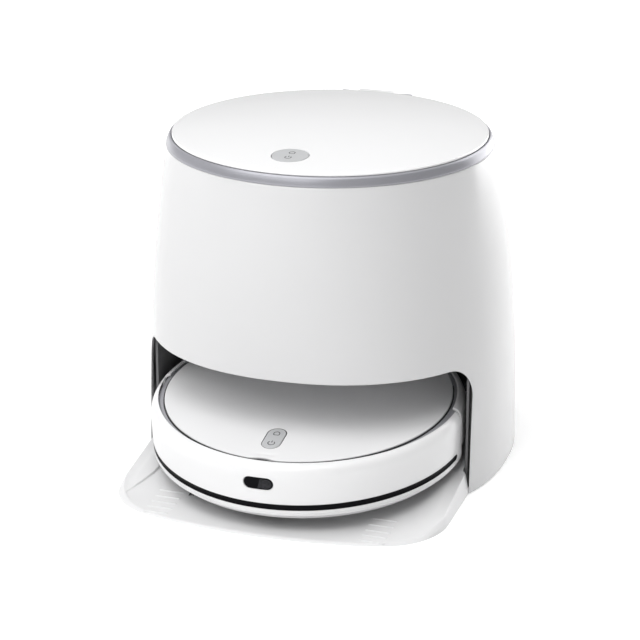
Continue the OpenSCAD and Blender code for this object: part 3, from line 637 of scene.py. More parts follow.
def make_station_body():
    shell = add_mesh("station_shell", shell_shape())
    soften(shell, 0.5, angle=62.0)
    finish(shell, "station", "shell_white", ["outer_shell"], sharp=45)
    cover = add_mesh("station_rear_cover", rear_cover_shape())
    soften(cover, 0.6, angle=62.0)
    low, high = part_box("mains_inlet")
    inlet_x, inlet_z = (low.x + high.x) / 2 / MM, (low.z + high.z) / 2 / MM
    inlet = block(27, 19, 60, corner=3.0)
    upright = Matrix.Translation((inlet_x, 260, inlet_z)) @ Matrix.Rotation(math.pi / 2, 4, "X")
    cut(cover, (moved(inlet, upright), None),
        *[slot_cutter(56, 3, -60, 35.5 + 7 * i) for i in range(6)])
    finish(cover, "station", "shell_white", ["rear_cover"], sharp=45)


# ---------- station: lid and trim ring ----------

def lid_button_matrix():
    x, y = BUTTON_POS
    tilt = Matrix.Rotation(math.asin(-y / DOME_R), 4, "X")
    return shift(x, LID_Y + y, dome(math.hypot(x, y), LID_TOP)) @ tilt


def make_lid():
    edge = 1.7
    radii = [(LID_R - edge) * i / 24 for i in range(25)]
    top = [(r, dome(r, LID_TOP)) for r in radii]
    rim_z = dome(LID_R, LID_TOP)
    roll = bezier((LID_R - edge, 0, dome(LID_R - edge, LID_TOP)), (LID_R, 0, rim_z),
                  (LID_R, 0, rim_z - edge * 0.8), 6)
    low = rim_z - LID_T
    foot = [(LID_R, rim_z - edge * 0.8), (LID_R, low + 0.5), (LID_R - 0.5, low)]
    under = [(r, dome(r, LID_TOP) - LID_T) for r in reversed(radii)]
    profile = top + [(p[0], p[2]) for p in roll] + foot + under
    lid = add_mesh("station_lid", revolve(profile, steps=288), shift(0, LID_Y, 0))
    levels = [(-10, 0.8), (-0.5, 0.8), (0.1, 1.2), (6, 1.2)]
    hole = flared(lambda grow: circle(LID_BUTTON_R + grow), levels)
    cut(lid, (hole, lid_button_matrix()))
    finish(lid, "station_lid", "lid_white", ["lid"])
    strap = block(42, 12, 4, (0, HINGE_Y - 5.5, HINGE_Z + 2.8), corner=1.5)
    knuckle = add_mesh("station_lid_knuckle",
                       merged(barrel(HINGE_R, 42, (0, HINGE_Y, HINGE_Z)), strap))
    soften(knuckle, 0.4)
    finish(knuckle, "station_lid", "lid_white")


def make_top_ring():
    band = rounded([
        (RING_HOLE_R, SHELL_H + 0.2, 0.4), (TOP_R - 0.3, SHELL_H + 0.2, 0.3),
        (TOP_R - 0.5, SHELL_H + 2.2, 0.6), (177.2, SHELL_H + 5.5, 1.2), (175.6, 368.6, 0.8),
        (174.0, 370.0, 0.5), (173.0, 370.0, 0.3), (172.2, 368.4, 0.4),
        (RING_HOLE_R, 368.4, 0.5)])
    ring = add_mesh("station_top_ring", revolve(band, steps=288), shift(0, LID_Y, 0))
    notch = block(43, 20, 24, (0, HINGE_Y - 2.5, HINGE_Z - 12), corner=0.5)
    cut(ring, (notch, None))
    finish(ring, "station", "trim_grey", ["top_ring"])
    ears = merged(*[barrel(HINGE_R, 20, (s * 31.5, HINGE_Y, HINGE_Z)) for s in (-1, 1)])
    ears = add_mesh("station_hinge_ears", ears)
    finish(ears, "station", "trim_grey")


def ribbon(path, width, closed):
    """A flat line of the given width along (x, y) points, as upper-face quads."""
    n = len(path)
    points = []
    for i, (x, y) in enumerate(path):
        before = path[i - 1] if closed or i else path[i]
        after = path[(i + 1) % n] if closed or i < n - 1 else path[i]
        along = Vector((after[0] - before[0], after[1] - before[1])).normalized()
        side = Vector((-along.y, along.x)) * width / 2
        points += [(x + side.x, y + side.y), (x - side.x, y - side.y)]
    spans = range(n if closed else n - 1)
    return points, [(2 * i, 2 * i + 1, (2 * i + 3) % (2 * n), (2 * i + 2) % (2 * n))
                    for i in spans]


def power_icon(size, x, y):
    """A broken ring with a short bar in its gap."""
    ring = [(x + size * math.sin(t), y + size * math.cos(t))
            for t in (math.radians(42 + 276 * i / 28) for i in range(29))]
    bar = [(x, y + size * 0.25), (x, y + size * 1.25)]
    return [(ring, False), (bar, False)]


def home_icon(size, x, y):
    """A rounded square with a small gable, for the way back to the dock."""
    corners = rounded([(x - size, y - size, size * 0.5), (x + size, y - size, size * 0.5),
                       (x + size, y + size * 0.55, size * 0.4), (x, y + size * 1.15, size * 0.3),
                       (x - size, y + size * 0.55, size * 0.4)])
    return [(corners, True)]


def add_icons(body, lines, surface, placed):
    """Raised line icons on a button; surface gives the height at (x, y)."""
    shapes = []
    for path, closed in lines:
        flat, quads = ribbon(path, ICON_WIDTH, closed)
        top = [(x, y, surface(x, y) + ICON_THICK) for x, y in flat]
        low = [(x, y, surface(x, y) - ICON_THICK) for x, y in flat]
        k = len(flat)
        sides = []
        for a, b, c, d in quads:
            sides += [(a, d, d + k, a + k), (b, c, c + k, b + k)]
        if not closed:
            sides += [(0, 1, 1 + k, k), (k - 2, k - 1, 2 * k - 1, 2 * k - 2)]
        shapes.append((top + low, quads + [tuple(i + k for i in q) for q in quads] + sides))
    icons = add_mesh(f"{body}_icons", merged(*shapes), placed, weld=0.0001)
    finish(icons, body, "button_grey", look=ICON_GREY)


def make_lid_button():
    edge, proud, crown = 0.9, 0.4, 0.35
    radii = [(LID_BUTTON_R - edge) * i / 10 for i in range(11)]
    top = [(r, proud - crown * (r / LID_BUTTON_R) ** 2) for r in radii]
    rim = proud - crown
    profile = top + [(LID_BUTTON_R - edge * 0.3, rim - 0.15), (LID_BUTTON_R, rim - 0.6),
                     (LID_BUTTON_R, -3.0), (3.0, -3.0), (3.0, -4.2), (0, -4.2)]
    cap = add_mesh("lid_button_cap", revolve(profile, steps=128), lid_button_matrix())
    finish(cap, "lid_button", "button_grey", ["lid_button"])
    lines = power_icon(3.3, 0, -7.2) + home_icon(2.9, 0, 7.0)
    add_icons("lid_button", lines,
              lambda x, y: proud - crown * (x * x + y * y) / LID_BUTTON_R ** 2,
              lid_button_matrix())


# ---------- station: tray ----------

def along_line(line, at):
    """Value of a polyline of (position, value) at a position, its positions in either order."""
    ordered = sorted(line)
    if at <= ordered[0][0]:
        return ordered[0][1]
    for (a, low), (b, high) in zip(ordered, ordered[1:]):
        if at <= b:
            return low + (high - low) * (at - a) / (b - a)
    return ordered[-1][1]


def ramp_height(y):
    """The ramp's height, with its two kinks rounded off."""
    return sum(along_line(RAMP, y + d) for d in (-7, -3.5, 0, 3.5, 7)) / 5


def tray_front_at(x):
    return TRAY_FRONT + 12.2 * (x / 115) ** 2


def tray_height(y, reach, step, ridge, blend):
    """Height of the top at a distance reach, where the cheek rises at step and ends at ridge."""
    low = ramp_height(y)
    rise = max(0.0, TRAY_EDGE + CHEEK_SLOPE * (y - CHEEK_Y) - low)
    t = min(1.0, max(0.0, (reach - step + blend) / (2 * blend)))
    inside = min(1.0, max(0.0, (ridge - reach) / CHEEK_RIM))
    return low + rise * t * t * (3 - 2 * t) * (1 - CHEEK_DISH * math.sin(math.pi * inside))


def tray_row(foot, ridge, step, height_at):
    """(distance, z) from the inside out: floor, cheek, ridge, and the drafted outer wall."""
    near, far = step - STEP_HALF, step + STEP_HALF
    inner = [near * i / 16 for i in range(17)]
    rise = [near + 2 * STEP_HALF * i / 5 for i in range(1, 6)]
    flat = [far + (ridge - 0.6 - far) * i / 12 for i in range(1, 13)]
    row = [(r, height_at(r)) for r in inner + rise + flat]
    top = row[-1][1]
    wall = foot - ridge
    row += [(ridge - 0.15, top - 0.05), (ridge + 0.18 * wall, 0.9 * top),
            (ridge + 0.6 * wall, 0.52 * top), (foot, 0.1 * top + 0.1)]
    return row


def tray_top(blend):
    """Rows of (x, y, z) over one half: straight rows at the side, then round the corner."""
    middle_x, middle_y = TRAY_CORNER
    rows = []
    side_ys = [TRAY_BACK - 7.5 * i for i in range(25)] + [-62.9, -64.5, -66.0, -67.5]
    side_ys += [-67.5 - 5.0 * i for i in range(1, 18)]
    for y in side_ys:
        share = min(1.0, max(0.0, (-63.0 - y) / 4.5))
        foot = 177.0 + 7.4 * share - middle_x
        ridge = foot - 0.5 - 3.3 * share
        step = along_line(CHEEK_STEP, y) - middle_x
        row = tray_row(foot, ridge, step,
                       lambda r, y=y, s=step, e=ridge: tray_height(y, r, s, e, blend))
        rows.append([(middle_x + r, y, z) for r, z in row])
    corner = []
    for i in range(1, 46):
        turn = math.radians(-2.0 * i)
        foot = TRAY_CORNER_R
        if 2 * i > 79:
            foot += (middle_y - tray_front_at(middle_x) - TRAY_CORNER_R) * (2 * i - 79) / 11
        ridge = foot - along_line(((0, 3.8), (15, 5.8), (30, 5.6), (60, 5.0), (90, 3.0)), 2 * i)
        step = ridge - 2.2
        for k in range(60):
            r = ridge - 2.2 - k
            y = middle_y + r * math.sin(turn)
            if middle_x + r * math.cos(turn) <= along_line(CHEEK_STEP, y):
                step = min(step, r)
                break
        c, s = math.cos(turn), math.sin(turn)
        row = tray_row(foot, ridge, step,
                       lambda r, s=s, t=step, e=ridge: tray_height(middle_y + r * s, r, t, e,
                                                                   blend))
        corner.append([(middle_x + r * c, middle_y + r * s, z) for r, z in row])
    return rows, corner


def tray_half(side, blend):
    """One half of the tray: its top, a flat underside, and the upright strips that join them."""
    middle_x, middle_y = TRAY_CORNER
    rows, corner = tray_top(blend)
    last = corner[-1]
    on_ramp = len(last) - 6     # the front edge keeps its own height beyond this point
    across = []
    for i in range(19):
        x = middle_x * (1 - i / 18)
        scale = (middle_y - tray_front_at(x)) / (middle_y - last[-1][1])
        line = [(x, row[0][1], row[0][2]) for row in rows]
        for k, (_, y, z) in enumerate(last[1:], 1):
            y = middle_y + (y - middle_y) * scale
            line.append((x, y, z if k > on_ramp else ramp_height(y)))
        across.append(line)
    points, faces = [], []
    for grid in (rows + corner, across):
        n = len(grid[0])
        for level in (1, 0):
            base = len(points)
            points += [(side * x, y, z * level) for row in grid for x, y, z in row]
            for a in range(len(grid) - 1):
                for b in range(n - 1):
                    k = base + a * n + b
                    faces.append((k, k + 1, k + n + 1, k + n))
    rim = [line[0] for line in reversed(across)] + rows[0][1:]
    rim += [row[-1] for row in (rows + corner)[1:]] + [line[-1] for line in across[1:]]
    base = len(points)
    points += [(side * x, y, h) for x, y, z in rim for h in (z, 0)]
    faces += [(base + 2 * i, base + 2 * i + 2, base + 2 * i + 3, base + 2 * i + 1)
              for i in range(len(rim) - 1)]
    return points, faces


def tray_ribs():
    """Anti-slip ribs near the front corners."""
    shapes = []
    for side in (-1, 1):
        for k in range(5):
            y0 = -220.0 + 12 * k
            levels = []
            for lift, grow in ((-0.6, 0.2), (0.35, 0.0), (0.7, -0.35), (0.8, -0.7)):
                outline = [(side * 120 + v, y0 + u) for u, v in pill(2.4, 28, grow, steps=6)]
                levels.append([(x, y, ramp_height(y) + lift) for x, y in outline])
            shapes.append(stack(levels))
    return merged(*shapes)


def make_tray():
    # The right cheek melts into the ramp; the left one ends in a step
    tray = add_mesh("station_tray", merged(tray_half(1, 12.0), tray_half(-1, 0.8)), weld=0.02)
    recess = (block(290, 140, 30, (0, 96, -8.4), corner=3.0), ROBOT)
    hollow = [(-108, -1), (-108, 9), (TRAY_BACK - 6, 20), (TRAY_BACK - 6, -1)]
    hollow = stack([[(x, y, z) for y, z in hollow] for x in (-142, 142)])
    feet = [prism([(x + u, y + v) for u, v in circle(6.2, 48)], (-1, 1.2))
            for x, y in ((-138, -190), (138, -190), (-150, 60), (150, 60))]
    cut(tray, (hollow, None), recess, *[(foot, None) for foot in feet])
    finish(tray, "station", "tray_white", ["base_tray"], sharp=50)
    finish(add_mesh("station_tray_ribs", tray_ribs()), "station", "tray_white")


# ---------- robot: casing ----------

def cover_height(x, y):
    return dome(math.hypot(x, y), COVER_APEX)


def power_outline(grow):
    """The robot button's outline, widened by grow."""
    return [(x, y + POWER_Y) for x, y in pill(POWER_W, POWER_L, grow)]


def cover_pivot():
    """The cover's hinge line in the robot's own frame, in millimetres."""
    return ROBOT.inverted() @ Vector(JOINT["top_cover_hinge"]["pos_m"]) / MM


def with_notch(x, y, z):
    """Finger notch: the front edge draws back, with a shallow crease behind it."""
    half, depth, reach = 15.0, 3.4, 14.0
    crease, crease_back, crease_wide = 0.75, 9.0, 2.6
    across = max(0.0, 1 - (x / half) ** 2) if abs(x) < half and y < 0 else 0.0
    back = COVER_R - math.hypot(x, y)
    draw = depth * across ** 1.5 * max(0.0, 1 - back / reach)
    return (x, y + draw, z - crease * across * math.exp(-((back - crease_back) /
                                                          crease_wide) ** 2))


def make_cover():
    edge, thick = 0.9, 2.6
    inner = COVER_R - edge - 18
    radii = [inner * i / 24 for i in range(25)] + [inner + 1.2 * i for i in range(1, 16)]
    rim_z = dome(COVER_R, COVER_APEX)
    roll = bezier((COVER_R - edge, 0, dome(COVER_R - edge, COVER_APEX)), (COVER_R, 0, rim_z),
                  (COVER_R, 0, rim_z - edge), 5)
    top = [(r, dome(r, COVER_APEX)) for r in radii] + [(p[0], p[2]) for p in roll]
    foot = [(COVER_R, rim_z - edge), (COVER_R, rim_z - thick + 0.4),
            (COVER_R - 0.4, rim_z - thick)]
    under = [(r, dome(r, COVER_APEX) - thick) for r in reversed(radii)]
    points, faces = revolve(top + foot + under, steps=360)
    cover = add_mesh("robot_cover", ([with_notch(*p) for p in points], faces), ROBOT)
    levels = [(60.0, 0.75), (75.4, 0.75), (77.6, 1.0), (90.0, 1.0)]
    cut(cover, (flared(power_outline, levels), ROBOT))
    finish(cover, "top_cover", "robot_white", ["top_cover"])
    pivot = cover_pivot()
    tabs = merged(*[s for x in (-26, 26) for s in (
        barrel(1.4, 12, (x, pivot.y, pivot.z)), block(12, 1.8, 1.6, (x, pivot.y, pivot.z), 0.3))])
    finish(add_mesh("robot_cover_tabs", tabs, ROBOT), "top_cover", "robot_white")


def make_power_button():
    levels = [(-2.4, 0.0), (-0.4, 0.0), (0.05, -0.15), (0.3, -0.5), (0.42, -1.0)]
    cap = stack([[(x, y, cover_height(x, y) + z) for x, y in power_outline(g)]
                 for z, g in levels])
    stem = block(6, 6, 3, (0, POWER_Y, 71.4))
    cap = add_mesh("power_button_cap", merged(cap, stem), ROBOT)
    finish(cap, "power_button", "button_grey", ["power_button"],
           sharp=50)
    lines = power_icon(3.6, 0, POWER_Y - 9.6) + home_icon(3.1, 0, POWER_Y + 9.4)
    add_icons("power_button", lines, lambda x, y: cover_height(x, y) + 0.42, ROBOT)


def bumper_profile():
    """Section of the bumper: lower lip with its fine line, upright wall, and the rounded top."""
    r = ROBOT_R
    crown = [(r, 55.0), (r, 66.5), (r - 4.5, 72.7), (r - 13.4, TOP_Z)]
    steps = 14
    top = []
    for i in range(steps + 1):
        t = i / steps
        w = ((1 - t) ** 3, 3 * t * (1 - t) ** 2, 3 * t * t * (1 - t), t ** 3)
        top.append(tuple(sum(k * p[axis] for k, p in zip(w, crown)) for axis in (0, 1)))
    lip = rounded([(r - 3.2, RIM_Z, 0), (r - 1.1, RIM_Z, 0.8), (r - 0.45, 17.9, 0.2),
                   (r - 0.75, 18.2, 0.1), (r - 0.75, 18.6, 0.1), (r - 0.4, 18.9, 0.1),
                   (r - 0.05, STRIP_Z[0], 1.0), (r, STRIP_Z[1] + 2, 1.0)])[1:]
    inner = [(r - 13.4, TOP_Z - 1.4), (r - 8, TOP_Z - 2.4), (r - 4.6, 66), (r - 3.0, 61),
             (r - 2.6, 57), (r - 3.2, 31.1), (r - 3.2, RIM_Z)]
    return lip + top + inner


def wall_cutter(outline_of, levels):
    """A cutter through the robot's wall: outline_of(grow) is laid at each (radius, grow)."""
    return stack([wrapped(outline_of(grow), radius) for radius, grow in levels])


def slot_along_wall(half, z0, z1, levels, columns=200):
    """A long slot's cutter, built column by column round the wall, with rounded ends."""
    r, mid = (z1 - z0) / 2, (z0 + z1) / 2
    points = []
    for i in range(columns + 1):
        along = -half * math.cos(math.pi * i / columns)
        left = min(r, half - abs(along))
        reach = max(0.15, r * math.sqrt(max(0.0, 1 - (1 - left / r) ** 2)))
        section = [(radius, mid - reach - grow) for radius, grow in levels]
        section += [(radius, mid + reach + grow) for radius, grow in reversed(levels)]
        points += [on_wall(along, radius, z) for radius, z in section]
    n = 2 * len(levels)
    return stack([points[i * n:(i + 1) * n] for i in range(columns + 1)])


def make_button_shadow_outline():
    """Thin dark ring in the gap between the cover and its button: a painted shadow, darkening the gap where shade
    falls.
    """
    ring = stack([[(x, y, cover_height(x, y) + z) for x, y in power_outline(0.72)]
                  for z in (-2.2, -0.1)])
    gap_shadow = add_mesh("power_button_painted_shadow", ring, ROBOT)
    cut(gap_shadow, (prism(power_outline(0.2), (60.0, 90.0)), ROBOT))
    finish(gap_shadow, "top_cover", "ring_grey", look=MATERIALS["foot_rubber"])


def make_bumper():
    start = -90 - BUMPER_HALF
    bumper = add_mesh("bumper_shell", revolve(bumper_profile(), start, 2 * BUMPER_HALF, 220),
                      ROBOT)
    # The inner top edge stands back from the cover, most of all at the sides
    stand_back = prism([(x, y + LIP_BACK) for x, y in circle(LIP_R, 256)], (62, 95))
    half = ROBOT_R * math.radians(STRIP_HALF) + 0.4
    long_slot = slot_along_wall(half, *STRIP_Z, [(ROBOT_R - 1.6, 0.0), (ROBOT_R - 0.35, 0.0),
                                                 (ROBOT_R + 1.0, 0.7)])
    lens = wall_cutter(lambda g: stadium(WINDOW_SPAN + 0.2, WINDOW_Z - WINDOW_H / 2,
                                         WINDOW_Z + WINDOW_H / 2, g, steps=14, pieces=8),
                       [(ROBOT_R - 8, 0.25), (ROBOT_R - 0.7, 0.25), (ROBOT_R - 0.1, 0.7),
                        (ROBOT_R + 1.0, 1.4)])
    cut(bumper, (stand_back, ROBOT))
    soften(bumper, 1.3, angle=58.0, segments=4)
    cut(bumper, (long_slot, ROBOT), (lens, ROBOT))
    finish(bumper, "bumper", "robot_white", ["bumper"], sharp=42)


def make_strip():
    """The long black infrared strip with its finely ribbed inner band."""
    half = ROBOT_R * math.radians(STRIP_HALF)
    low, high = STRIP_Z
    middle = (low + high) / 2
    columns = 660
    heights = [low + 0.15, low + 1.5, low + 1.9, high - 1.9, high - 1.5, high - 0.15]
    points = []
    for i in range(columns + 1):
        along = half * (2 * i / columns - 1)
        left = half - abs(along)
        squeeze = min(1.0, math.sqrt(max(0.02, left / 3.4)))
        for j, z in enumerate(heights):
            rib = (0.3, 0.16)[i % 2] if j in (2, 3) else 0.0
            z = middle + (z - middle) * squeeze
            points += [on_wall(along, ROBOT_R - back, z) for back in (0.35 + rib, 1.4)]
    n = len(heights)
    faces = []
    for i in range(columns):
        a, b = i * 2 * n, (i + 1) * 2 * n
        for j in range(n - 1):
            faces.append((a + 2 * j, b + 2 * j, b + 2 * j + 2, a + 2 * j + 2))
            faces.append((a + 2 * j + 1, b + 2 * j + 1, b + 2 * j + 3, a + 2 * j + 3))
        for j in (0, n - 1):
            faces.append((a + 2 * j, b + 2 * j, b + 2 * j + 1, a + 2 * j + 1))
    strip = add_mesh("bumper_infrared_strip", (points, faces), ROBOT)
    finish(strip, "bumper", "window_black", ["bumper_strip"])


def make_window():
    """Sensor window: a black lens whose right half lets a dark grey receiver show."""
    low, high = WINDOW_Z - WINDOW_H / 2, WINDOW_Z + WINDOW_H / 2

    def lens(g):
        return stadium(WINDOW_SPAN, low, high, g, steps=14, pieces=8)

    shape = wall_cutter(lens, [(ROBOT_R - 2.4, 0.0), (ROBOT_R - 0.9, 0.0), (ROBOT_R - 0.6, -0.4),
                               (ROBOT_R - 0.55, -1.0)])
    window = add_mesh("sensor_window_lens", shape, ROBOT)
    finish(window, "bumper", "window_black", ["sensor_window"])
    inner = [(max(x, 0.6 + 0.28 * (z - WINDOW_Z)), z) for x, z in lens(-1.3)]
    receiver = stack([wrapped(inner, ROBOT_R - 0.7), wrapped(inner, ROBOT_R - 0.5)])
    receiver = add_mesh("sensor_window_receiver", receiver, ROBOT)
    finish(receiver, "bumper", "window_black", look=RECEIVER_GREY)


def make_rear_shell():
    profile = rounded([
        (166.4, 26, 0.3), (172, 26, 0.8), (BODY_R, 29, 0.8), (BODY_R, 60, 3.0), (172.3, 64, 2),
        (170.8, 68, 2), (168.4, 71.2, 1.5), (165, TOP_Z, 0.8), (163, TOP_Z, 0.4),
        (163, 70.2, 0.4), (167, 69, 1), (169.6, 65, 1), (170.4, 60, 1), (170.4, 30, 0.5),
        (166.4, 28.6, 0.3)])
    shell = add_mesh("robot_rear_shell",
                     revolve(profile, -90 + SHELL_HALF, 360 - 2 * SHELL_HALF, 200), ROBOT)
    soften(shell, 0.7, angle=58.0)
    windows = [(block(14.4, 20, 10.4, (s * CONTACT_X, 168, 31.8), corner=1.5), ROBOT)
               for s in (-1, 1)]
    cut(shell, *windows)
    finish(shell, "robot", "robot_white", ["body_shell"])


def make_cover_shadow_band():
    """Dark band in the foot rubber's look, which the cover's edge rests beside: a painted shadow, a dark piece
    standing in for the shade in the seam under the cover's edge.
    """
    profile = [(153.0, 67.3), (159.5, 67.3), (159.5, 71.7), (159.2, 72.0), (158.7, 71.8),
               (158.55, 69.8), (153.0, 69.8)]
    seam_shadow = add_mesh("robot_cover_painted_shadow", revolve(profile, -200, 220, 240), ROBOT)
    finish(seam_shadow, "robot", "ring_grey", look=MATERIALS["foot_rubber"])


def make_deck_ring():
    profile = rounded([(140, 64.2, 0), (166, 64.2, 0), (166, 65.4, 0.3), (163.6, 68, 0.6),
                       (161.6, 69.6, 0.6), (159.6, 70.2, 0.4), (159.6, 67.2, 0.3),
                       (140, 67.2, 0)])
    slope_r, slope_w, lift = 161.2, 4.8, 2.6

    def lifted(x, y, z):
        """The outer slope is shallower at the sides, where the pressed bumper never reaches."""
        r = math.hypot(x, y)
        side = min(1.0, max(0.0, (abs(x) / r - 0.76) / 0.18))
        out = max(0.0, (r - slope_r) / slope_w) if z > 65 else 0.0
        return (x, y, z + lift * side * out ** 1.3)

    points, faces = revolve(profile, steps=288)
    ring = add_mesh("robot_deck_ring", ([lifted(*p) for p in points], faces), ROBOT)
    pivot = cover_pivot()
    cut(ring, (block(66, 4.2, 20, (0, pivot.y, 60), corner=0.8), ROBOT))
    finish(ring, "robot", "ring_grey", ["deck_ring"])


# ---------- robot: running gear and cleaning parts ----------

def wheel_matrix(side):
    turn = Matrix.Rotation(math.pi / 2, 4, "Y")
    return ROBOT @ shift(side * WHEEL_X, WHEEL_Y, WHEEL_R) @ turn


def make_tyre(side, name):
    half = WHEEL_W / 2
    groove = WHEEL_R - 1.8
    base = rounded([(WHEEL_R - 5.98, -half + 0.4, 0.4), (groove - 0.8, -half, 1.2),
                    (groove, -half + 1.6, 0.8), (groove, half - 1.6, 0.8),
                    (groove - 0.8, half, 1.2), (WHEEL_R - 5.98, half - 0.4, 0.4)])
    shapes = [revolve(base, steps=144)]
    lug = [(groove - 0.5, -half + 1.2), (WHEEL_R - 0.4, -half + 1.9), (WHEEL_R, -half + 3.4),
           (WHEEL_R, -1.0), (WHEEL_R - 0.5, -0.5), (groove - 0.5, -0.3)]
    count = 22
    for i in range(count):
        for flip, late in ((1, 0.0), (-1, 0.5)):
            profile = [(r, flip * z) for r, z in lug]
            points, faces = revolve(profile, 0, 9.5, 4)
            turned = []
            for x, y, z in points:
                sweep = math.radians(360 / count * (i + late) + 3.2 * abs(z) / half)
                c, s = math.cos(sweep), math.sin(sweep)
                turned.append((x * c - y * s, x * s + y * c, z))
            shapes.append((turned, faces))
    tyre = add_mesh(f"{name}_tread", merged(*shapes), wheel_matrix(side))
    finish(tyre, BODY_OF[name], "tyre_rubber", [name])


def make_main_brush():
    """Roller with three rubber blades and three rows of bristle, all on a gentle spiral."""
    core, span = ROLLER_R - 4.5, ROLLER_HALF - 2
    steps, tufts = 48, 96
    ends = rounded([(0, -ROLLER_HALF, 0), (core, -ROLLER_HALF, 1.2), (core, ROLLER_HALF, 1.2),
                    (0, ROLLER_HALF, 0)])
    blade = [(core - 0.6, -1.6), (core + 1.5, -0.9), (ROLLER_R - 0.3, -0.5),
             (ROLLER_R - 0.3, 0.4), (core + 1.5, 0.9), (core - 0.6, 1.6)]
    turn = Matrix.Rotation(math.pi / 2, 4, "Y")
    shapes = [moved(revolve(ends, steps=96), turn), barrel(3.0, 2 * ROLLER_HALF + 14, (0, 0, 0))]

    def spiral(row, share):
        return span * (2 * share - 1), math.radians(60 * row + 50 * share)

    for row in (0, 2, 4):
        levels = []
        for i in range(steps + 1):
            x, a = spiral(row, i / steps)
            levels.append([(x, r * math.cos(a) - w * math.sin(a),
                            r * math.sin(a) + w * math.cos(a)) for r, w in blade])
        shapes.append(stack(levels))
    rng = random.Random(4)
    bristles = []
    for row in (1, 3, 5):
        for i in range(tufts):
            x, a = spiral(row, (i + 0.5) / tufts)
            for _ in range(3):
                lean = rng.uniform(-0.06, 0.06)
                tip = Vector((x + rng.uniform(-0.8, 0.8), (ROLLER_R - 0.2) * math.cos(a + lean),
                              (ROLLER_R - 0.2) * math.sin(a + lean)))
                foot = Vector((x + rng.uniform(-0.5, 0.5), (core - 0.4) * math.cos(a + lean / 3),
                               (core - 0.4) * math.sin(a + lean / 3)))
                bristles.append(spike(foot, tip, 0.28))
    make_brush("main_brush_roller", "main_brush_bristles", "main_brush", shapes, bristles,
               ROBOT @ shift(0, ROLLER_Y, ROLLER_Z))


def make_brush(solid, hair, body, shapes, bristles, placed):
    """A brush's solid part and, apart from it, its bristles."""
    brush = add_mesh(solid, merged(*shapes), placed)
    finish(brush, body, "brush_fibre", [body])
    tufts = add_mesh(hair, merged(*bristles), placed, weld=0.0001)
    finish(tufts, body, "brush_fibre")


def spike(foot, tip, width):
    """A slim three-sided bristle."""
    along = (tip - foot).normalized()
    side = along.orthogonal().normalized()
    other = along.cross(side)
    ring = [side * math.cos(t) + other * math.sin(t) for t in (0, 2.094, 4.189)]
    points = [tuple(foot + r * width) for r in ring] + [tuple(tip + r * width * 0.4) for r in ring]
    return points, [(0, 1, 2), (3, 4, 5), (0, 1, 4, 3), (1, 2, 5, 4), (2, 0, 3, 5)]


def make_side_brush():
    hub = rounded([(0, 3.5, 0), (11.5, 3.5, 1.5), (13, 5.2, 1.0), (12.4, 7.6, 1.0), (4, 8.1, 0.5),
                   (3, 8.6, 0.2), (3, 20, 0.4), (0, 20, 0)])
    shapes = [revolve(hub, steps=72)]
    rng = random.Random(7)
    bristles = []
    for k in range(3):
        a = math.radians(120 * k + 45)
        arm = block(9, 4.4, 2.6, (13.5, 0, 2.6), corner=1.6)
        shapes.append(moved(arm, Matrix.Rotation(a, 4, "Z")))
        for _ in range(46):
            spread = a + rng.uniform(-0.10, 0.10)
            reach = rng.uniform(33.5, 36.0)
            foot = Vector((15 * math.cos(a), 15 * math.sin(a), 3.6 + rng.uniform(-0.8, 0.8)))
            tip = Vector((reach * math.cos(spread), reach * math.sin(spread),
                          2.3 + rng.uniform(-0.4, 0.4)))
            bristles.append(spike(foot, tip, 0.25))
    make_brush("side_brush_hub", "side_brush_bristles", "side_brush", shapes, bristles,
               ROBOT @ shift(*SIDE_BRUSH, 0))


def make_mop_pad(side, name):
    """Round microfibre pad: a crowned disc with a stitched edge and a looped pile."""
    low, high = 0.3, 4.1
    rings = 46
    outline = [(PAD_R * i / rings * 0.985, high) for i in range(rings + 1)]
    outline += [(PAD_R * 0.996, high - 0.5), (PAD_R, (low + high) / 2), (PAD_R * 0.994, low + 0.6)]
    outline += [(PAD_R * i / rings * 0.975, low) for i in reversed(range(rings + 1))]
    points, faces = revolve(outline, steps=180)
    piled = []
    for x, y, z in points:
        r = math.hypot(x, y)
        seam = math.exp(-((r - PAD_R * 0.93) / 1.1) ** 2)
        tuft = noise.noise(Vector((x * 0.55, y * 0.55, z)))
        fuzz = noise.noise(Vector((x * 1.7, y * 1.7, z * 2)))
        if z < (low + high) / 2:
            z += 0.45 * seam + max(0.0, 0.22 + 0.3 * tuft + 0.15 * fuzz)
        else:
            z -= 0.5 * seam + 0.08 * (1 + fuzz)
        piled.append((x, y, z))
    pad = add_mesh(f"{name}_cloth", (piled, faces), ROBOT @ shift(side * MOP_X, MOP_Y, 0))
    finish(pad, BODY_OF[name], "mop_cloth", [name], sharp=80)


# ---------- parts that keep their CAD shape ----------

ROUNDED = (    # edge width in millimetres, and the nodes that take it
    (0.8, "clean_tank_handle waste_tank_handle clean_tank_lid waste_tank_lid water_pumps "
          "drive_modules caster_wheel dust_bin mop_gearbox side_brush_motor"),
    (0.6, "power_supply battery wash_board wheel_hub_left wheel_hub_right"),
    (0.5, "chassis caster_fork brush_guard bottom_plate"), (0.4, "mains_inlet"),
    (0.3, "station_feet charge_contacts"), (0.25, "station_screws"), (0.2, "control_board"))


def dress_cad_nodes():
    """A procedural finish on every CAD node that still shows, and softened edges on the nodes listed in ROUNDED.
    """
    rounding = {name: width for width, names in ROUNDED for name in names.split()}
    for name, obj in frame["nodes"].items():
        if obj.hide_render:
            continue
        obj.data.materials.clear()
        obj.data.materials.append(MATERIALS[SLOT_OF[name]])
        if name in rounding:
            weld = obj.modifiers.new("weld", "WELD")
            weld.merge_threshold = 0.00001
            bevel = obj.modifiers.new("soften", "BEVEL")
            bevel.width, bevel.segments = rounding[name] * MM, 2
            bevel.limit_method, bevel.angle_limit = "ANGLE", math.radians(45)
            bevel.use_clamp_overlap = True


# ---------- camera, floor and light ----------

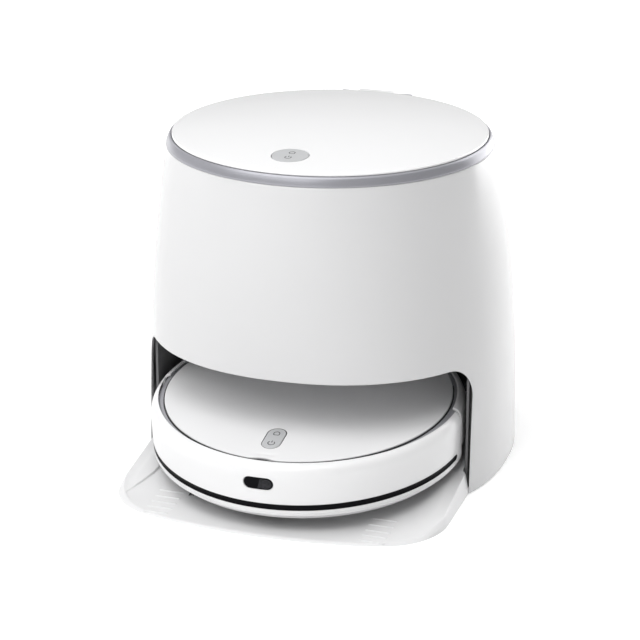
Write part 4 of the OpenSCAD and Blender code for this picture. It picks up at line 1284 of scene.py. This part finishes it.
SENSOR, LENS = 36.0, 132.3                       # millimetres
CAMERA_AIM = (-0.0011, -0.0173, 0.1630)          # metres
CAMERA_FROM = (17.81, 20.13, 2.6)                # azimuth, elevation, metres from the aim
PANEL_AIM = (0, 0, 0.2)
PANELS = (    # name, azimuth, elevation, distance, width, height, watts
    ("front_panel", -28, 57.0, 2.6, 3.0, 2.6, 64.0),
    ("top_panel", 0, 89.0, 2.4, 3.4, 3.4, 32.0),
    ("low_panel", -12, 8.0, 2.4, 2.4, 0.6, 6.0),
    ("key_panel", -92, 16.0, 2.6, 2.0, 2.4, 5.5),
    ("right_back_panel", 150, 14.0, 2.2, 1.6, 2.2, 38.0),
    ("left_back_panel", -128, 14.0, 2.4, 0.7, 2.2, 5.0),
)
WORLD_LIGHT, FLOOR_HALF = 0.16, 60.0             # strength, metres
FLOOR_GLOW = {"From Min": 0.9, "From Max": 3.2, "To Min": 0.2, "To Max": 0.75}

def from_azimuth(azimuth, elevation, distance, aim):
    """A point round the aim: azimuth 0 is in front, and positive turns towards +X."""
    a, e = math.radians(azimuth), math.radians(elevation)
    away = Vector((math.sin(a) * math.cos(e), -math.cos(a) * math.cos(e), math.sin(e)))
    return Vector(aim) + away * distance


def look_from(obj, position, aim):
    obj.location = position
    obj.rotation_euler = (Vector(aim) - position).to_track_quat("-Z", "Y").to_euler()


def make_camera():
    data = bpy.data.cameras.new("camera")
    data.sensor_width, data.lens = SENSOR, LENS
    camera = bpy.data.objects.new("camera", data)
    bpy.context.scene.collection.objects.link(camera)
    look_from(camera, from_azimuth(*CAMERA_FROM, CAMERA_AIM), CAMERA_AIM)
    bpy.context.scene.camera = camera


def add_panel(name, azimuth, elevation, distance, width, height, power):
    """A soft rectangular light panel that the camera itself doesn't see."""
    data = bpy.data.lights.new(name, "AREA")
    data.shape, data.size, data.size_y, data.energy = "RECTANGLE", width, height, power
    light = bpy.data.objects.new(name, data)
    bpy.context.scene.collection.objects.link(light)
    look_from(light, from_azimuth(azimuth, elevation, distance, PANEL_AIM), PANEL_AIM)
    light.visible_camera = False


def floor_paper():
    """White paper whose far parts glow a little more, so that it stays white to the horizon."""
    paper = material("studio_floor", (0.93, 0.93, 0.93), 0.6, vary=0.004, drift=2.0, grain=90.0,
                     bump=0.02)
    nodes, links = paper.node_tree.nodes, paper.node_tree.links
    shader = nodes["Principled BSDF"]
    shader.inputs["Emission Color"].default_value = (1.0, 1.0, 1.0, 1.0)
    place = nodes.new("ShaderNodeTexCoord")
    reach = nodes.new("ShaderNodeVectorMath")
    reach.operation = "LENGTH"
    glow = nodes.new("ShaderNodeMapRange")
    set_inputs(glow, FLOOR_GLOW)
    links.new(place.outputs["Object"], reach.inputs[0])
    links.new(reach.outputs["Value"], glow.inputs["Value"])
    links.new(glow.outputs["Result"], shader.inputs["Emission Strength"])
    return paper


def make_studio():
    scene = bpy.context.scene
    scene.view_settings.view_transform = "Standard"
    world = bpy.data.worlds.new("studio")
    scene.world = world
    world.use_nodes = True
    back = world.node_tree.nodes["Background"]
    set_inputs(back, {"Color": (1.0, 1.0, 1.0, 1.0), "Strength": WORLD_LIGHT})
    far = FLOOR_HALF / MM
    corners = [(-far, -far, 0), (far, -far, 0), (far, far, 0), (-far, far, 0)]
    floor = add_mesh("studio_floor", (corners, [(0, 1, 2, 3)]))
    floor.data.materials.append(floor_paper())
    for panel in PANELS:
        add_panel(*panel)


def main():
    make_camera()
    make_studio()
    make_station_body()
    make_lid()
    make_top_ring()
    make_lid_button()
    make_tray()
    make_cover()
    make_power_button()
    make_button_shadow_outline()
    make_bumper()
    make_strip()
    make_window()
    make_rear_shell()
    make_deck_ring()
    make_cover_shadow_band()
    for side, end in ((-1, "left"), (1, "right")):
        make_tyre(side, f"tyre_{end}")
        make_mop_pad(side, f"mop_pad_{end}")
    make_main_brush()
    make_side_brush()
    dress_cad_nodes()


main()
